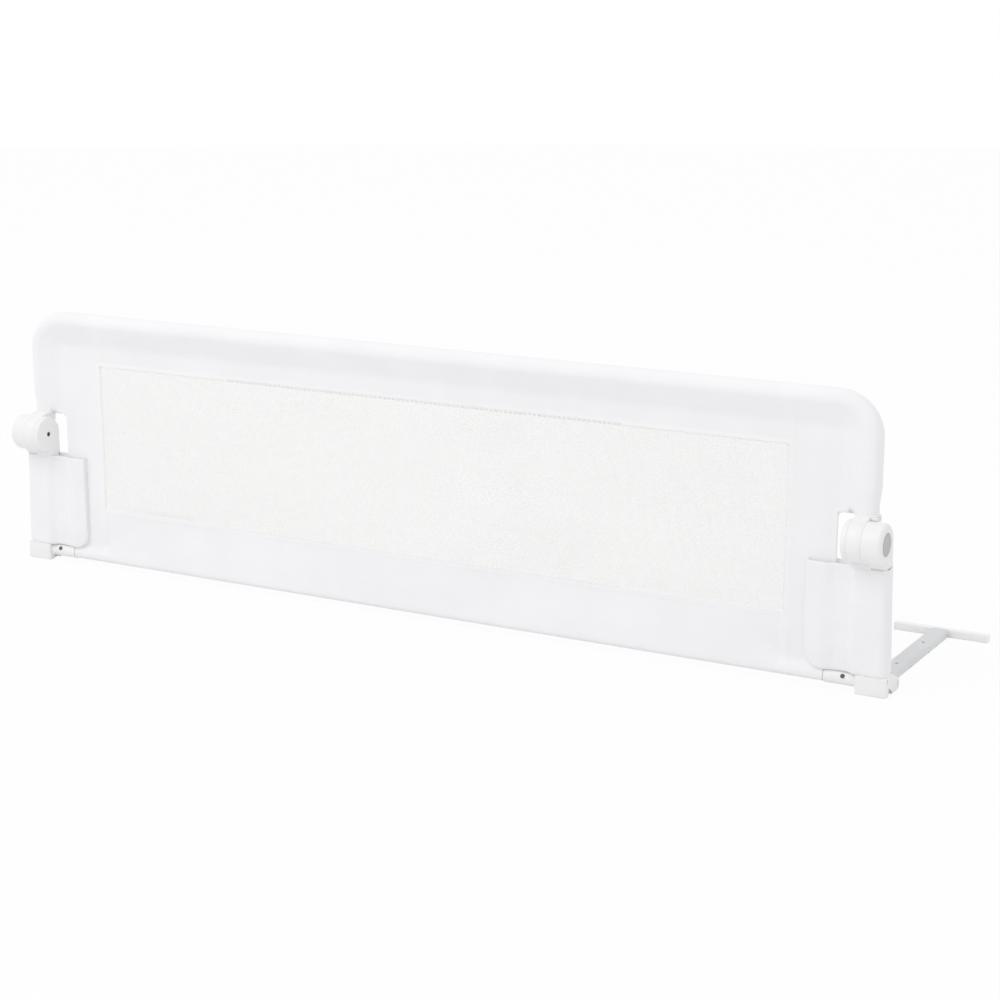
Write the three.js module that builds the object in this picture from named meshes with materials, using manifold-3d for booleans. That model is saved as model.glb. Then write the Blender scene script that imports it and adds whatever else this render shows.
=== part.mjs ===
// A folding guard rail for the side of a bed.
//
// Millimetres. X runs along the bed, +Y points to the mattress and +Z is up.
// Every piece is drawn in one frame: x = 0 is the middle of the rail, y = 0 is the
// mid-plane of the cover and z = 0 is the surface that the feet stand on.
// Pieces that come in pairs are drawn for the right end and mirrored for the left.
// The last lines move the whole rail so that the origin is under the centre of its box.

import * as THREE from "three";
import { mergeVertices } from "three/addons/utils/BufferGeometryUtils.js";
import Module from "manifold-3d";

const wasm = await Module();
wasm.setup();

// Whole rail
const railWidth = 1500; // over the outer faces of the two hinges
const railHeight = 420; // top edge of the cover
const seat = 0.3; // gap between two pieces that touch
const running = 0.4; // gap between two pieces that slide or turn on each other
const overrun = 2; // how far a cutting tool runs past what it cuts

// Upper frame
const tubeRadius = 12.5;
const tubeWall = 1.5;
const tubeBend = 48; // radius of the corner, on the centre line
const topJoinerLength = 120;
const topJoinerWall = 1.5;

// Cover
const coverInset = 19; // upper side edge, measured in from the hinge's outer face
const coverPlay = 0.5; // round a tube
const coverWall = 2.5; // padded fabric round a tube
const coverSheet = 3; // flat fabric, two layers
const seamInset = 155; // upright seam, measured in from the hinge's outer face
const windowLow = 99; // lower edge of the net
const topBandDepth = 85; // from the top edge down to the net
const netSheet = 1.2;
const foldGap = 2; // between the upper and lower halves, on the fold line
const notchInset = 78; // upright edge beside the hinge, from the hinge's outer face
const notchRise = 32; // top of the notch above the fold axis
const notchCorner = 8;
const hemInset = 90; // end of the bottom hem, from the hinge's outer face
const hemPlay = 0.4;
const hemWall = 1.2;

// Pocket round the lower post
const pocketInset = 118; // inner edge, from the hinge's outer face
const pocketBottom = 31; // under the post
const pocketInnerBottom = 38; // under the inner edge
const pocketDrop = 37; // from the fold axis down to the pocket's top
const pocketCorner = 25; // rounded lower corner at the inner edge
const ridgeWidth = 35; // padded hem along the inner edge
const ridgeRound = 8;
const valleyDepth = 3; // of the sunk stretch between the ridge and the post

// Lower post
const postWidth = 40;
const postDepth = 25;
const postCorner = 7;
const postWall = 1.5;

// Bottom tube
const bottomTubeRadius = 8;
const bottomTubeWall = 1.2;
const bottomTubeHeight = 18; // centre line above the floor
const bottomJoinerLength = 100;
const bottomJoinerWall = 1.5;

// Hinge
const hingeWidth = 57;
const hingeForward = 21.5; // the fold axis lies this far in front of the cover
const hingeHeight = 218; // the fold axis above the floor
const barrelRadius = 29;
const rimRound = 8; // rounded outer rim of the drum
const cheekRound = 4; // rounded edge of the inner cheek
const cheekThickness = 8;
const turningWidth = 20.6; // barrel of the turning arm
const housingBack = 10.8; // rear face, behind the cover's mid-plane
const housingCorner = 9; // rounded upright edges at the rear
const shoulderRise = 22; // top of the fixed back wall above the fold axis, where the arm stops
const shoulderCorner = 8;
const spigotLength = 40; // of the housing in the post
const spigotCorner = 5;

// Turning arm
const stemWidth = 21;
const stemForward = 8; // front of the stem, ahead of the fold axis
const stemBack = 8; // rear face, behind the cover's mid-plane
const stemRise = 9.5; // top of the stem above the shoulder
const stemFrontDrop = 1; // of its front edge
const collarRise = 2.5; // top of the flange under the upper tube, above the stem
const collarHeight = 4;
const armSpigotLength = 45;

// Lock in the hinge
const buttonRadius = 16;
const buttonFace = 2.4;
const buttonWall = 1.6;
const buttonProud = 0.5;
const buttonEdge = 1.4;
const buttonTravel = 7;
const webThickness = 4; // wall between the button and the gear
const legCount = 3;
const legRadius = 11;
const legWidth = 5;
const legDepth = 3;
const gearTip = 20;
const gearRoot = 17;
const gearLobes = 8;
const gearThickness = 18;
const splineDepth = 6.5; // stretch of the drum that holds the gear from turning
const springPocketRadius = 8;
const springPocketDepth = 11;
const springRadius = 5.6;
const springWire = 1.2;
const springTurns = 6;

// Pivot bolt and nut
const boltRadius = 3;
const boltHeadRadius = 5.2;
const boltHeadHeight = 3.2;
const boltSocketRadius = 2.4;
const boltSocketDepth = 2;
const boltHeadSink = 0.6; // below the cheek's face
const nutRadius = 5.8;
const nutHeight = 3.5;
const boltEnd = 0.5; // thread that shows past the nut

// Foot
const footWidth = 46;
const footStandOut = 4; // past the hinge's outer face
const footFront = 14; // in front of the cover's mid-plane
const footBack = 44;
const footHeight = 28;
const footBackHeight = 15;
const footCorner = 2;
const footWall = 6; // in front of the arm
const footSpigotLength = 34;
const tongueLength = 36; // of the foot in the bottom tube
const slitWidth = 1.2;
const slitDepth = 3;
const frontSlitY = -4;
const frontSlitLow = 17;
const frontSlitHigh = 24;
const backSlitY = 39;
const backSlitLow = 2;
const backSlitHigh = 11.5;
const footNotchY = 19; // middle of the notch in the lower edge of the foot's sides
const footNotchWidth = 18;
const footNotchHeight = 7;
const footNotchCorner = 3;

// Support arm and cross bar
const armWidth = 27;
const armHeight = 13;
const armWall = 1.4;
const armRound = 3;
const armCentreInset = 23.5; // centre line, from the hinge's outer face
const armHoleRadius = 2.5;
const armHoleNear = 108; // from the cover's mid-plane
const armHoleFar = 221;
const crossBarY = 305.5;
const crossBarLength = 145; // over its caps
const crossBarSize = 12;
const crossBarRound = 2;
const crossBarWall = 1.2;
const tenonLength = 15; // of the cross bar in the open end of the arm
const capThickness = 3;
const capPlugLength = 10;

// Screws and rivets
const rivetRadius = 2;
const screwRadius = 1.5;
const screwHeadRadius = 3.2;
const screwHeadHeight = 1.8;
const screwLength = 10;
const screwInset = 60; // in the bottom tube, from the hinge's outer face
const screwTilt = Math.PI / 4;
const armScrewY = 5;
const armScrewRadius = 2;
const armScrewHeadRadius = 4;
const armScrewHeadHeight = 2.5;
const armScrewLength = 12; // of the shank

// Number of flat sides on round pieces
const tubeSides = 16;
const barrelSides = 32;
const boreSides = 24;
const smallSides = 12;
const cornerSteps = 3;
const bendSteps = 8;
const hexSides = 6;

// Places that several pieces share
const hingeOuterX = railWidth / 2;
const hingeInnerX = hingeOuterX - hingeWidth;
const sleeveRadius = tubeRadius + coverPlay + coverWall;
const sideTubeX = hingeOuterX - coverInset - sleeveRadius;
const topTubeZ = railHeight - sleeveRadius;
const seamX = hingeOuterX - seamInset;
const notchX = hingeOuterX - notchInset;
const hemEndX = hingeOuterX - hemInset;
const hemRadius = bottomTubeRadius + hemPlay + hemWall;
const postMargin = coverPlay + coverWall;
const postX = hingeOuterX - postMargin - postWidth / 2;
const pocketPostX = hingeOuterX - postWidth - 2 * postMargin; // where the post's sleeve begins
const footOuterX = hingeOuterX + footStandOut;
const footInnerX = footOuterX - footWidth;
const armX = hingeOuterX - armCentreInset;
const axisY = -hingeForward;
const slotLowX = hingeInnerX + cheekThickness;
const slotHighX = slotLowX + turningWidth + 2 * running;
const recessDepthX = boltEnd + nutHeight + seat + buttonTravel + seat + buttonFace - buttonProud;
const webOuterX = hingeOuterX - recessDepthX;
const webInnerX = webOuterX - webThickness;
const gearHighX = webInnerX - seat;
const gearLowX = gearHighX - gearThickness;
const socketEndX = gearLowX - buttonTravel - running;
const splineLowX = webInnerX - splineDepth;
const boltHole = boltRadius + seat;
const windowHigh = railHeight - topBandDepth;
const pocketTop = hingeHeight - pocketDrop;
const notchTop = hingeHeight + notchRise;
const shoulderZ = hingeHeight + shoulderRise;
const stemTop = shoulderZ + stemRise;
const collarTop = stemTop + collarRise;
const lowerFoldZ = hingeHeight - foldGap / 2;
const upperFoldZ = hingeHeight + foldGap / 2;
const upperTubeEndZ = collarTop + seat;
const postLowZ = footHeight + seat;
const postHighZ = pocketTop - seat;
const housingLowZ = pocketTop + seat;
const housingRivetZ = pocketTop - spigotLength / 2;
const footRivetZ = footHeight + footSpigotLength / 2;
const tubeRivetZ = collarTop + armSpigotLength / 2;
const armFrontY = -footFront + footWall + seat;
const armScrewSeatZ = armHeight - armWall - seat; // the head lies under the arm's upper wall
const crossBarFrontY = crossBarY - crossBarSize / 2;
const armBackY = crossBarFrontY - seat;

// Finishes
function finish(colour, roughness, metalness = 0) {
  return new THREE.MeshStandardMaterial({ color: colour, roughness, metalness });
}
const whitePlastic = finish("#efeff1", 0.42);
const greyPlastic = finish("#6f7075", 0.5);
const whiteFabric = finish("#eeeef2", 0.9);
const whiteNet = finish("#f2f2f3", 0.95);
const whitePaint = finish("#e9e9ea", 0.35, 0.1);
const greyPaint = finish("#c9cccd", 0.4, 0.2);
const capPlastic = finish("#d2d2d3", 0.5);
const darkSteel = finish("#4b4c50", 0.4, 0.8);
const zincSteel = finish("#a8a9ac", 0.35, 0.9);
const gearPlastic = finish("#d8d6cf", 0.5);

// The points of an arc, both ends included
function arc(x, y, radius, from, to, steps) {
  return Array.from({ length: steps + 1 }, (_, i) => {
    const angle = from + ((to - from) * i) / steps;
    return new THREE.Vector2(x + radius * Math.cos(angle), y + radius * Math.sin(angle));
  });
}

function circle(x, y, radius, sides) {
  return arc(x, y, radius, 0, 2 * Math.PI, sides).slice(0, sides);
}

// A closed outline from corners [x, y, radius], each rounded by its radius if it has one
function rounded(corners, steps = cornerSteps) {
  return corners.flatMap(([x, y, radius], i) => {
    const here = new THREE.Vector2(x, y);
    if (!radius) return [here];
    const before = new THREE.Vector2(...corners.at(i - 1)).sub(here).normalize();
    const after = new THREE.Vector2(...corners[(i + 1) % corners.length]).sub(here).normalize();
    const half = Math.acos(THREE.MathUtils.clamp(before.dot(after), -1, 1)) / 2;
    const centre = before.clone().add(after).normalize();
    centre.multiplyScalar(radius / Math.sin(half)).add(here);
    const start = before.multiplyScalar(radius / Math.tan(half)).add(here).sub(centre).angle();
    const end = after.multiplyScalar(radius / Math.tan(half)).add(here).sub(centre).angle();
    let sweep = end - start;
    if (sweep > Math.PI) sweep -= 2 * Math.PI;
    if (sweep < -Math.PI) sweep += 2 * Math.PI;
    return arc(centre.x, centre.y, radius, start, start + sweep, steps);
  });
}

function roundedBox(x, y, width, depth, radius) {
  const [low, high] = [x - width / 2, x + width / 2];
  const [front, back] = [y - depth / 2, y + depth / 2];
  return rounded([[low, front, radius], [high, front, radius], [high, back, radius], [low, back, radius]]);
}

// A prism along Z from an outline in x and y, with an optional hole of the same kind
function prismZ(points, low, high, hole, steps = 1) {
  const shape = new THREE.Shape(points);
  if (hole) shape.holes.push(new THREE.Path(hole));
  const geometry = new THREE.ExtrudeGeometry(shape, { depth: high - low, steps, bevelEnabled: false });
  return geometry.translate(0, 0, low);
}

// A prism along X from an outline in y and z
function prismX(points, low, high, hole, steps = 1) {
  const cycle = new THREE.Matrix4().set(0, 0, 1, 0, 1, 0, 0, 0, 0, 1, 0, 0, 0, 0, 0, 1);
  return prismZ(points, low, high, hole, steps).applyMatrix4(cycle);
}

// A prism along Y from an outline in x and z
function prismY(points, low, high, hole) {
  return prismZ(points, -high, -low, hole).rotateX(Math.PI / 2);
}

function block(x0, x1, y0, y1, z0, z1) {
  const geometry = new THREE.BoxGeometry(x1 - x0, y1 - y0, z1 - z0);
  return geometry.translate((x0 + x1) / 2, (y0 + y1) / 2, (z0 + z1) / 2);
}

// A round bar between two points
function bar(radius, from, to, sides = smallSides) {
  const start = new THREE.Vector3(...from);
  const along = new THREE.Vector3(...to).sub(start);
  const geometry = new THREE.CylinderGeometry(radius, radius, along.length(), sides);
  const turn = new THREE.Quaternion();
  turn.setFromUnitVectors(new THREE.Vector3(0, 1, 0), along.clone().normalize());
  geometry.applyQuaternion(turn);
  return geometry.translate(...along.multiplyScalar(1 / 2).add(start));
}

// A turned piece round the fold axis, from points [distance along X, radius]
function turned(points, sides = barrelSides) {
  const profile = points.map(([x, radius]) => new THREE.Vector2(radius, x));
  const geometry = new THREE.LatheGeometry(profile, sides);
  return geometry.rotateZ(-Math.PI / 2).translate(0, axisY, hingeHeight);
}

// A bore or a bar along the fold axis
function onAxis(radius, x0, x1, sides = boreSides) {
  return bar(radius, [x0, axisY, hingeHeight], [x1, axisY, hingeHeight], sides);
}

// A closed mesh as a solid that can be joined and cut
function solid(geometry) {
  if (!(geometry instanceof THREE.BufferGeometry)) return geometry;
  const bare = geometry.clone();
  for (const name of Object.keys(bare.attributes)) {
    if (name !== "position") bare.deleteAttribute(name);
  }
  const merged = mergeVertices(bare);
  const corners = merged.index.array;
  const kept = [];
  for (let i = 0; i < corners.length; i += 3) {
    const [a, b, c] = corners.slice(i, i + 3);
    if (a !== b && b !== c && c !== a) kept.push(a, b, c);
  }
  const mesh = new wasm.Mesh({
    numProp: 3,
    vertProperties: merged.attributes.position.array,
    triVerts: new Uint32Array(kept),
  });
  return new wasm.Manifold(mesh);
}

function joined(...pieces) {
  return pieces.map(solid).reduce((sum, piece) => sum.add(piece));
}

function cut(piece, ...tools) {
  return tools.map(solid).reduce((rest, tool) => rest.subtract(tool), solid(piece));
}

// A joined or cut solid as a geometry again
function geometryOf(piece) {
  if (piece instanceof THREE.BufferGeometry) return piece;
  const mesh = piece.getMesh();
  const geometry = new THREE.BufferGeometry();
  geometry.setAttribute("position", new THREE.BufferAttribute(mesh.vertProperties, 3));
  geometry.setIndex(new THREE.BufferAttribute(mesh.triVerts, 1));
  return geometry;
}

// The same piece for the left end: x is negated and each face is wound the other way
function mirrored(geometry) {
  const copy = geometry.index ? geometry.toNonIndexed() : geometry.clone();
  const position = copy.attributes.position;
  for (let i = 0; i < position.count; i += 3) {
    const corners = [0, 2, 1].map((k) => new THREE.Vector3().fromBufferAttribute(position, i + k));
    corners.forEach((corner, k) => position.setXYZ(i + k, -corner.x, corner.y, corner.z));
  }
  return copy;
}

const rail = new THREE.Group();

function add(name, piece, material) {
  const geometry = geometryOf(piece);
  geometry.computeVertexNormals();
  const mesh = new THREE.Mesh(geometry, material);
  mesh.name = name;
  rail.add(mesh);
}

function addPair(name, piece, material) {
  const geometry = geometryOf(piece);
  add(`${name}_right`, geometry, material);
  add(`${name}_left`, mirrored(geometry), material);
}

// The centre line of the upper tube: along the top, round the corner and down the side.
// Its steps follow the listed stations, so the straights cost one step each.
class UpperRoute extends THREE.Curve {
  constructor(fromX, toZ) {
    super();
    const corner = arc(sideTubeX - tubeBend, topTubeZ - tubeBend, tubeBend, Math.PI / 2, 0, bendSteps);
    const places = [[fromX, topTubeZ], ...corner.map((point) => point.toArray()), [sideTubeX, toZ]];
    this.stations = places.map(([x, z]) => new THREE.Vector3(x, 0, z));
  }

  get steps() {
    return this.stations.length - 1;
  }

  getPoint(share, target = new THREE.Vector3()) {
    const place = THREE.MathUtils.clamp(share, 0, 1) * this.steps;
    const index = Math.min(Math.floor(place), this.steps - 1);
    return target.lerpVectors(this.stations[index], this.stations[index + 1], place - index);
  }

  getUtoTmapping(share) {
    return share;
  }
}

// A round bar along the upper route
function upperSweep(radius, fromX, toZ) {
  const route = new UpperRoute(fromX, toZ);
  const section = new THREE.Shape(circle(0, 0, radius, tubeSides));
  return new THREE.ExtrudeGeometry(section, { steps: route.steps, extrudePath: route });
}

// Upper frame: two bent tubes and the joiner between them
function upperFrame() {
  const outer = upperSweep(tubeRadius, seat / 2, upperTubeEndZ);
  const bore = upperSweep(tubeRadius - tubeWall, -overrun, upperTubeEndZ - overrun);
  const rivetHole = bar(
    rivetRadius + seat,
    [sideTubeX, -tubeRadius - overrun, tubeRivetZ],
    [sideTubeX, tubeRadius + overrun, tubeRivetZ],
  );
  addPair("upper_tube", cut(outer, bore, rivetHole), whitePaint);

  const joinerRadius = tubeRadius - tubeWall - seat;
  const half = topJoinerLength / 2;
  const inside = circle(0, topTubeZ, joinerRadius - topJoinerWall, tubeSides);
  add("top_joiner", prismX(circle(0, topTubeZ, joinerRadius, tubeSides), -half, half, inside), zincSteel);

  const reach = tubeRadius - seat;
  const rivet = bar(rivetRadius, [sideTubeX, -reach, tubeRivetZ], [sideTubeX, reach, tubeRivetZ]);
  addPair("upper_tube_rivet", rivet, zincSteel);
}

// Lower posts, on the feet and under the hinges
function lowerPosts() {
  const outer = roundedBox(postX, 0, postWidth, postDepth, postCorner);
  const bore = roundedBox(
    postX,
    0,
    postWidth - 2 * postWall,
    postDepth - 2 * postWall,
    postCorner - postWall,
  );
  const post = prismZ(outer, postLowZ, postHighZ, bore);
  addPair("lower_post", cut(post, postRivet(footRivetZ, seat), postRivet(housingRivetZ, seat)), whitePaint);
  addPair("foot_rivet", postRivet(footRivetZ), zincSteel);
  addPair("housing_rivet", postRivet(housingRivetZ), zincSteel);
}

// A rivet through the post, or with extra the hole for it
function postRivet(height, extra = 0) {
  const reach = postDepth / 2 + (extra ? overrun : -seat);
  return bar(rivetRadius + extra, [postX, -reach, height], [postX, reach, height]);
}

// What stands in the end of a post: its bore less the gap all round
function postSpigot(low, high) {
  const width = postWidth - 2 * (postWall + seat);
  const depth = postDepth - 2 * (postWall + seat);
  return prismZ(roundedBox(postX, 0, width, depth, spigotCorner), low, high);
}

// Bottom tube in two halves, its joiner and the screws at its ends
function bottomTubes() {
  const outer = circle(0, bottomTubeHeight, bottomTubeRadius, tubeSides);
  const bore = circle(0, bottomTubeHeight, bottomTubeRadius - bottomTubeWall, tubeSides);
  const tube = prismX(outer, seat / 2, footInnerX - seat, bore);
  addPair("bottom_tube", cut(tube, tubeScrewHole()), whitePaint);

  const joinerRadius = bottomTubeRadius - bottomTubeWall - seat;
  const joiner = circle(0, bottomTubeHeight, joinerRadius, tubeSides);
  const inside = circle(0, bottomTubeHeight, joinerRadius - bottomJoinerWall, tubeSides);
  const half = bottomJoinerLength / 2;
  add("bottom_joiner", prismX(joiner, -half, half, inside), zincSteel);

  const headLow = bottomTubeRadius + seat;
  const headHigh = headLow + screwHeadHeight;
  const middle = headLow + screwHeadHeight / 2;
  const head = tiltedBar(screwHeadRadius, headLow, headHigh);
  const slot = tiltedBar(screwRadius, middle, headHigh + overrun);
  const shank = tiltedBar(screwRadius, middle - screwLength, middle);
  addPair("tube_screw", cut(joined(head, shank), slot), darkSteel);
}

// A bar across the bottom tube, tilted up and to the front, between two distances from its axis
function tiltedBar(radius, near, far) {
  const place = (distance) => [
    hingeOuterX - screwInset,
    -distance * Math.cos(screwTilt),
    bottomTubeHeight + distance * Math.sin(screwTilt),
  ];
  return bar(radius, place(near), place(far));
}

function tubeScrewHole() {
  return tiltedBar(screwRadius + seat, bottomTubeRadius - screwLength, bottomTubeRadius + overrun);
}

// Foot: a block under the post, with the channel for the support arm open below
function feet() {
  const side = rounded([
    [-footFront, 0, footCorner],
    [footBack, 0, footCorner],
    [footBack, footBackHeight, footCorner],
    [footFront, footHeight, footCorner],
    [-footFront, footHeight, footCorner],
  ]);
  const body = prismX(side, footInnerX, footOuterX);
  const spigot = postSpigot(footHeight - overrun, footHeight + footSpigotLength);
  const tongue = bar(
    bottomTubeRadius - bottomTubeWall - seat,
    [footInnerX + overrun, 0, bottomTubeHeight],
    [footInnerX - tongueLength, 0, bottomTubeHeight],
    tubeSides,
  );
  const half = armWidth / 2 + seat;
  const channel = block(
    armX - half,
    armX + half,
    -footFront + footWall,
    footBack + overrun,
    -overrun,
    armHeight + seat,
  );
  const slits = [
    [frontSlitY, frontSlitLow, frontSlitHigh],
    [backSlitY, backSlitLow, backSlitHigh],
  ].map(([y, low, high]) =>
    block(footOuterX - slitDepth, footOuterX + overrun, y - slitWidth / 2, y + slitWidth / 2, low, high),
  );
  const notchLow = footNotchY - footNotchWidth / 2;
  const notchHigh = footNotchY + footNotchWidth / 2;
  const notch = rounded([
    [notchLow, -overrun],
    [notchHigh, -overrun],
    [notchHigh, footNotchHeight, footNotchCorner],
    [notchLow, footNotchHeight, footNotchCorner],
  ]);
  const hole = armScrewBar(armScrewRadius + seat, armHeight, armScrewSeatZ + armScrewLength + seat);
  const foot = cut(
    joined(body, spigot, tongue),
    channel,
    ...slits,
    prismX(notch, footInnerX - overrun, footOuterX + overrun),
    hole,
    postRivet(footRivetZ, seat),
    tubeScrewHole(),
  );
  addPair("foot", foot, whitePlastic);

  const under = armScrewSeatZ - armScrewHeadHeight;
  const middle = armScrewSeatZ - armScrewHeadHeight / 2;
  const head = armScrewBar(armScrewHeadRadius, under, armScrewSeatZ);
  const shank = armScrewBar(armScrewRadius, middle, armScrewSeatZ + armScrewLength);
  const slot = armScrewBar(armScrewRadius, under - overrun, middle);
  addPair("arm_screw", cut(joined(head, shank), slot), darkSteel);
}

// An upright bar where the arm is screwed up to the foot
function armScrewBar(radius, low, high) {
  return bar(radius, [armX, armScrewY, low], [armX, armScrewY, high]);
}

// Support arm: a flat tube from the foot to the cross bar, with two holes right through it
function supportArms() {
  const outer = roundedBox(armX, armHeight / 2, armWidth, armHeight, armRound);
  const tube = prismY(outer, armFrontY, armBackY, armSection(armWall));
  const holes = [armHoleNear, armHoleFar].map((y) =>
    bar(armHoleRadius, [armX, y, -overrun], [armX, y, armHeight + overrun]),
  );
  const screwHole = armScrewBar(armScrewRadius + seat, armHeight / 2, armHeight + overrun);
  const headWay = armScrewBar(armScrewHeadRadius + seat, -overrun, armHeight / 2);
  addPair("support_arm", cut(tube, ...holes, screwHole, headWay), greyPaint);
}

// Section of the arm, taken in by a depth all round
function armSection(depth) {
  return roundedBox(armX, armHeight / 2, armWidth - 2 * depth, armHeight - 2 * depth, armRound - armWall);
}

function crossSection(size) {
  return roundedBox(crossBarY, crossBarSize / 2, size, size, crossBarRound);
}

// Cross bar behind the arm, with a tenon in the arm's open end, and its two caps
function crossBars() {
  const half = crossBarLength / 2;
  const end = half - capThickness - seat;
  const bore = crossSection(crossBarSize - 2 * crossBarWall);
  const tube = prismX(crossSection(crossBarSize), armX - end, armX + end, bore);
  const root = crossBarFrontY + crossBarWall / 2;
  const tenon = prismY(armSection(armWall + seat), crossBarFrontY - tenonLength, root);
  addPair("cross_bar", joined(tube, tenon), greyPaint);

  const plug = crossSection(crossBarSize - 2 * (crossBarWall + seat));
  for (const [name, way] of [["outer", 1], ["inner", -1]]) {
    const back = armX + way * (half - capThickness);
    const ends = [back - way * capPlugLength, back + (way * capThickness) / 2].sort((a, b) => a - b);
    addPair(`cross_bar_cap_${name}`, joined(capHead(back, way), prismX(plug, ...ends)), capPlastic);
  }
}

// The head of a cap: full section where it meets the bar, rounded over its outer half
function capHead(back, way) {
  const face = back + way * capThickness;
  const [low, high] = [back, face].sort((a, b) => a - b);
  const head = prismX(crossSection(crossBarSize), low, high, undefined, 2 * cornerSteps);
  const crown = capThickness / 2;
  const position = head.attributes.position;
  for (let i = 0; i < position.count; i += 1) {
    const past = THREE.MathUtils.clamp(1 - Math.abs(face - position.getX(i)) / crown, 0, 1);
    const scale = 1 - (2 * crown * (1 - Math.sqrt(1 - past * past))) / crossBarSize;
    const y = crossBarY + (position.getY(i) - crossBarY) * scale;
    const z = crossBarSize / 2 + (position.getZ(i) - crossBarSize / 2) * scale;
    position.setXYZ(i, position.getX(i), y, z);
  }
  return head;
}

// Fixed half of the hinge: base plate, back wall, inner cheek and outer drum in one piece
function hingeHousings() {
  const half = postDepth / 2;
  const tuck = barrelRadius * Math.SQRT1_2;
  const side = rounded([
    [-half, housingLowZ],
    [housingBack, housingLowZ],
    [housingBack, shoulderZ, shoulderCorner],
    [axisY, shoulderZ],
    [axisY, hingeHeight - tuck],
    [-half, hingeHeight - tuck],
  ]);
  const outerX = hingeOuterX - rimRound / 2;
  const plan = rounded([
    [hingeInnerX, axisY - overrun],
    [outerX, axisY - overrun],
    [outerX, housingBack, housingCorner],
    [hingeInnerX, housingBack, housingCorner],
  ]);
  const upright = solid(prismZ(plan, housingLowZ - overrun, shoulderZ + overrun));
  const back = upright.intersect(solid(prismX(side, hingeInnerX - overrun, hingeOuterX)));
  const barrel = turned([
    [hingeInnerX, 0],
    ...profileArc(hingeInnerX + cheekRound, cheekRound, -1),
    ...profileArc(hingeOuterX - rimRound, rimRound, 1).reverse(),
    [hingeOuterX, 0],
  ]);
  const slotBack = axisY + barrelRadius + running;
  const slotLow = hingeHeight - barrelRadius - running;
  const slot = block(
    slotLowX,
    slotHighX,
    axisY - barrelRadius - overrun,
    slotBack,
    slotLow,
    hingeHeight + barrelRadius + overrun,
  );
  const spigot = postSpigot(pocketTop - spigotLength, housingLowZ + overrun);
  const recess = onAxis(buttonRadius + running, webOuterX, hingeOuterX + overrun, barrelSides);
  const spline = prismX(splineOutline(running), splineLowX, webInnerX);
  const clear = onAxis(gearTip + 2 * running, slotHighX - overrun, splineLowX, barrelSides);
  const boltWay = onAxis(boltHole, hingeInnerX - overrun, webOuterX + overrun, smallSides);
  const boltSink = onAxis(
    boltHeadRadius + seat,
    hingeInnerX - overrun,
    hingeInnerX + boltHeadSink + boltHeadHeight,
  );
  const legWays = legBlocks(webInnerX - overrun, webOuterX + overrun, running);
  const housing = cut(
    joined(back, barrel, spigot),
    slot,
    recess,
    spline,
    clear,
    boltWay,
    boltSink,
    ...legWays,
    postRivet(housingRivetZ, seat),
  );
  addPair("hinge_housing", housing, whitePlastic);
}

// A rounded rim in a turned profile: the arc centre is at x, and way is the side it faces
function profileArc(x, radius, way) {
  const points = arc(0, 0, radius, Math.PI / 2, 0, cornerSteps);
  const rim = points.map((point) => [x + way * point.x, barrelRadius - radius + point.y]);
  return rim.reverse();
}

// Outline of the lock gear round the fold axis, grown by extra
function splineOutline(extra) {
  const pitch = (2 * Math.PI) / gearLobes;
  const flankShares = [-0.28, -0.18, 0.18, 0.28];
  return Array.from({ length: gearLobes }, (_, lobe) =>
    flankShares.map((share, k) => {
      const radius = (k === 0 || k === flankShares.length - 1 ? gearRoot : gearTip) + extra;
      const angle = pitch * (lobe + share);
      return new THREE.Vector2(axisY + radius * Math.cos(angle), hingeHeight + radius * Math.sin(angle));
    }),
  ).flat();
}

// The button's legs, or with extra the ways that they run in
function legBlocks(x0, x1, extra = 0) {
  return Array.from({ length: legCount }, (_, i) => {
    const depth = legDepth / 2 + extra;
    const width = legWidth / 2 + extra;
    const leg = block(x0, x1, -width, width, legRadius - depth, legRadius + depth);
    return leg.rotateX((2 * Math.PI * i) / legCount).translate(0, axisY, hingeHeight);
  });
}

// Turning half of the hinge: a barrel between cheek and drum, its stem and the tube's spigot
function hingeArms() {
  const barrel = onAxis(barrelRadius, slotLowX + running, slotHighX - running, barrelSides);
  const under = shoulderZ + seat;
  const side = [
    [axisY - stemForward, hingeHeight],
    [axisY - stemForward, stemTop - stemFrontDrop],
    [-tubeRadius, stemTop],
    [stemBack, stemTop],
    [stemBack, under],
    [axisY, under],
  ].map(([y, z]) => new THREE.Vector2(y, z));
  const stem = prismX(side, sideTubeX - stemWidth / 2, sideTubeX + stemWidth / 2);
  const drumSpace = onAxis(barrelRadius + running, slotHighX - running, hingeOuterX, barrelSides);
  const collarLow = collarTop - collarHeight;
  const collar = bar(tubeRadius, [sideTubeX, 0, collarLow], [sideTubeX, 0, collarTop], tubeSides);
  const spigotRadius = tubeRadius - tubeWall - seat;
  const spigotTop = collarTop + armSpigotLength;
  const spigot = bar(spigotRadius, [sideTubeX, 0, stemTop], [sideTubeX, 0, spigotTop], tubeSides);
  const socket = onAxis(gearTip + 2 * running, socketEndX, slotHighX, barrelSides);
  const boltWay = onAxis(boltHole, slotLowX, slotHighX, smallSides);
  const rivetHole = bar(
    rivetRadius + seat,
    [sideTubeX, -tubeRadius, tubeRivetZ],
    [sideTubeX, tubeRadius, tubeRivetZ],
  );
  const neck = cut(joined(stem, collar), drumSpace);
  const arm = cut(joined(neck, barrel, spigot), socket, boltWay, rivetHole);
  addPair("hinge_arm", arm, whitePlastic);
}

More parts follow.
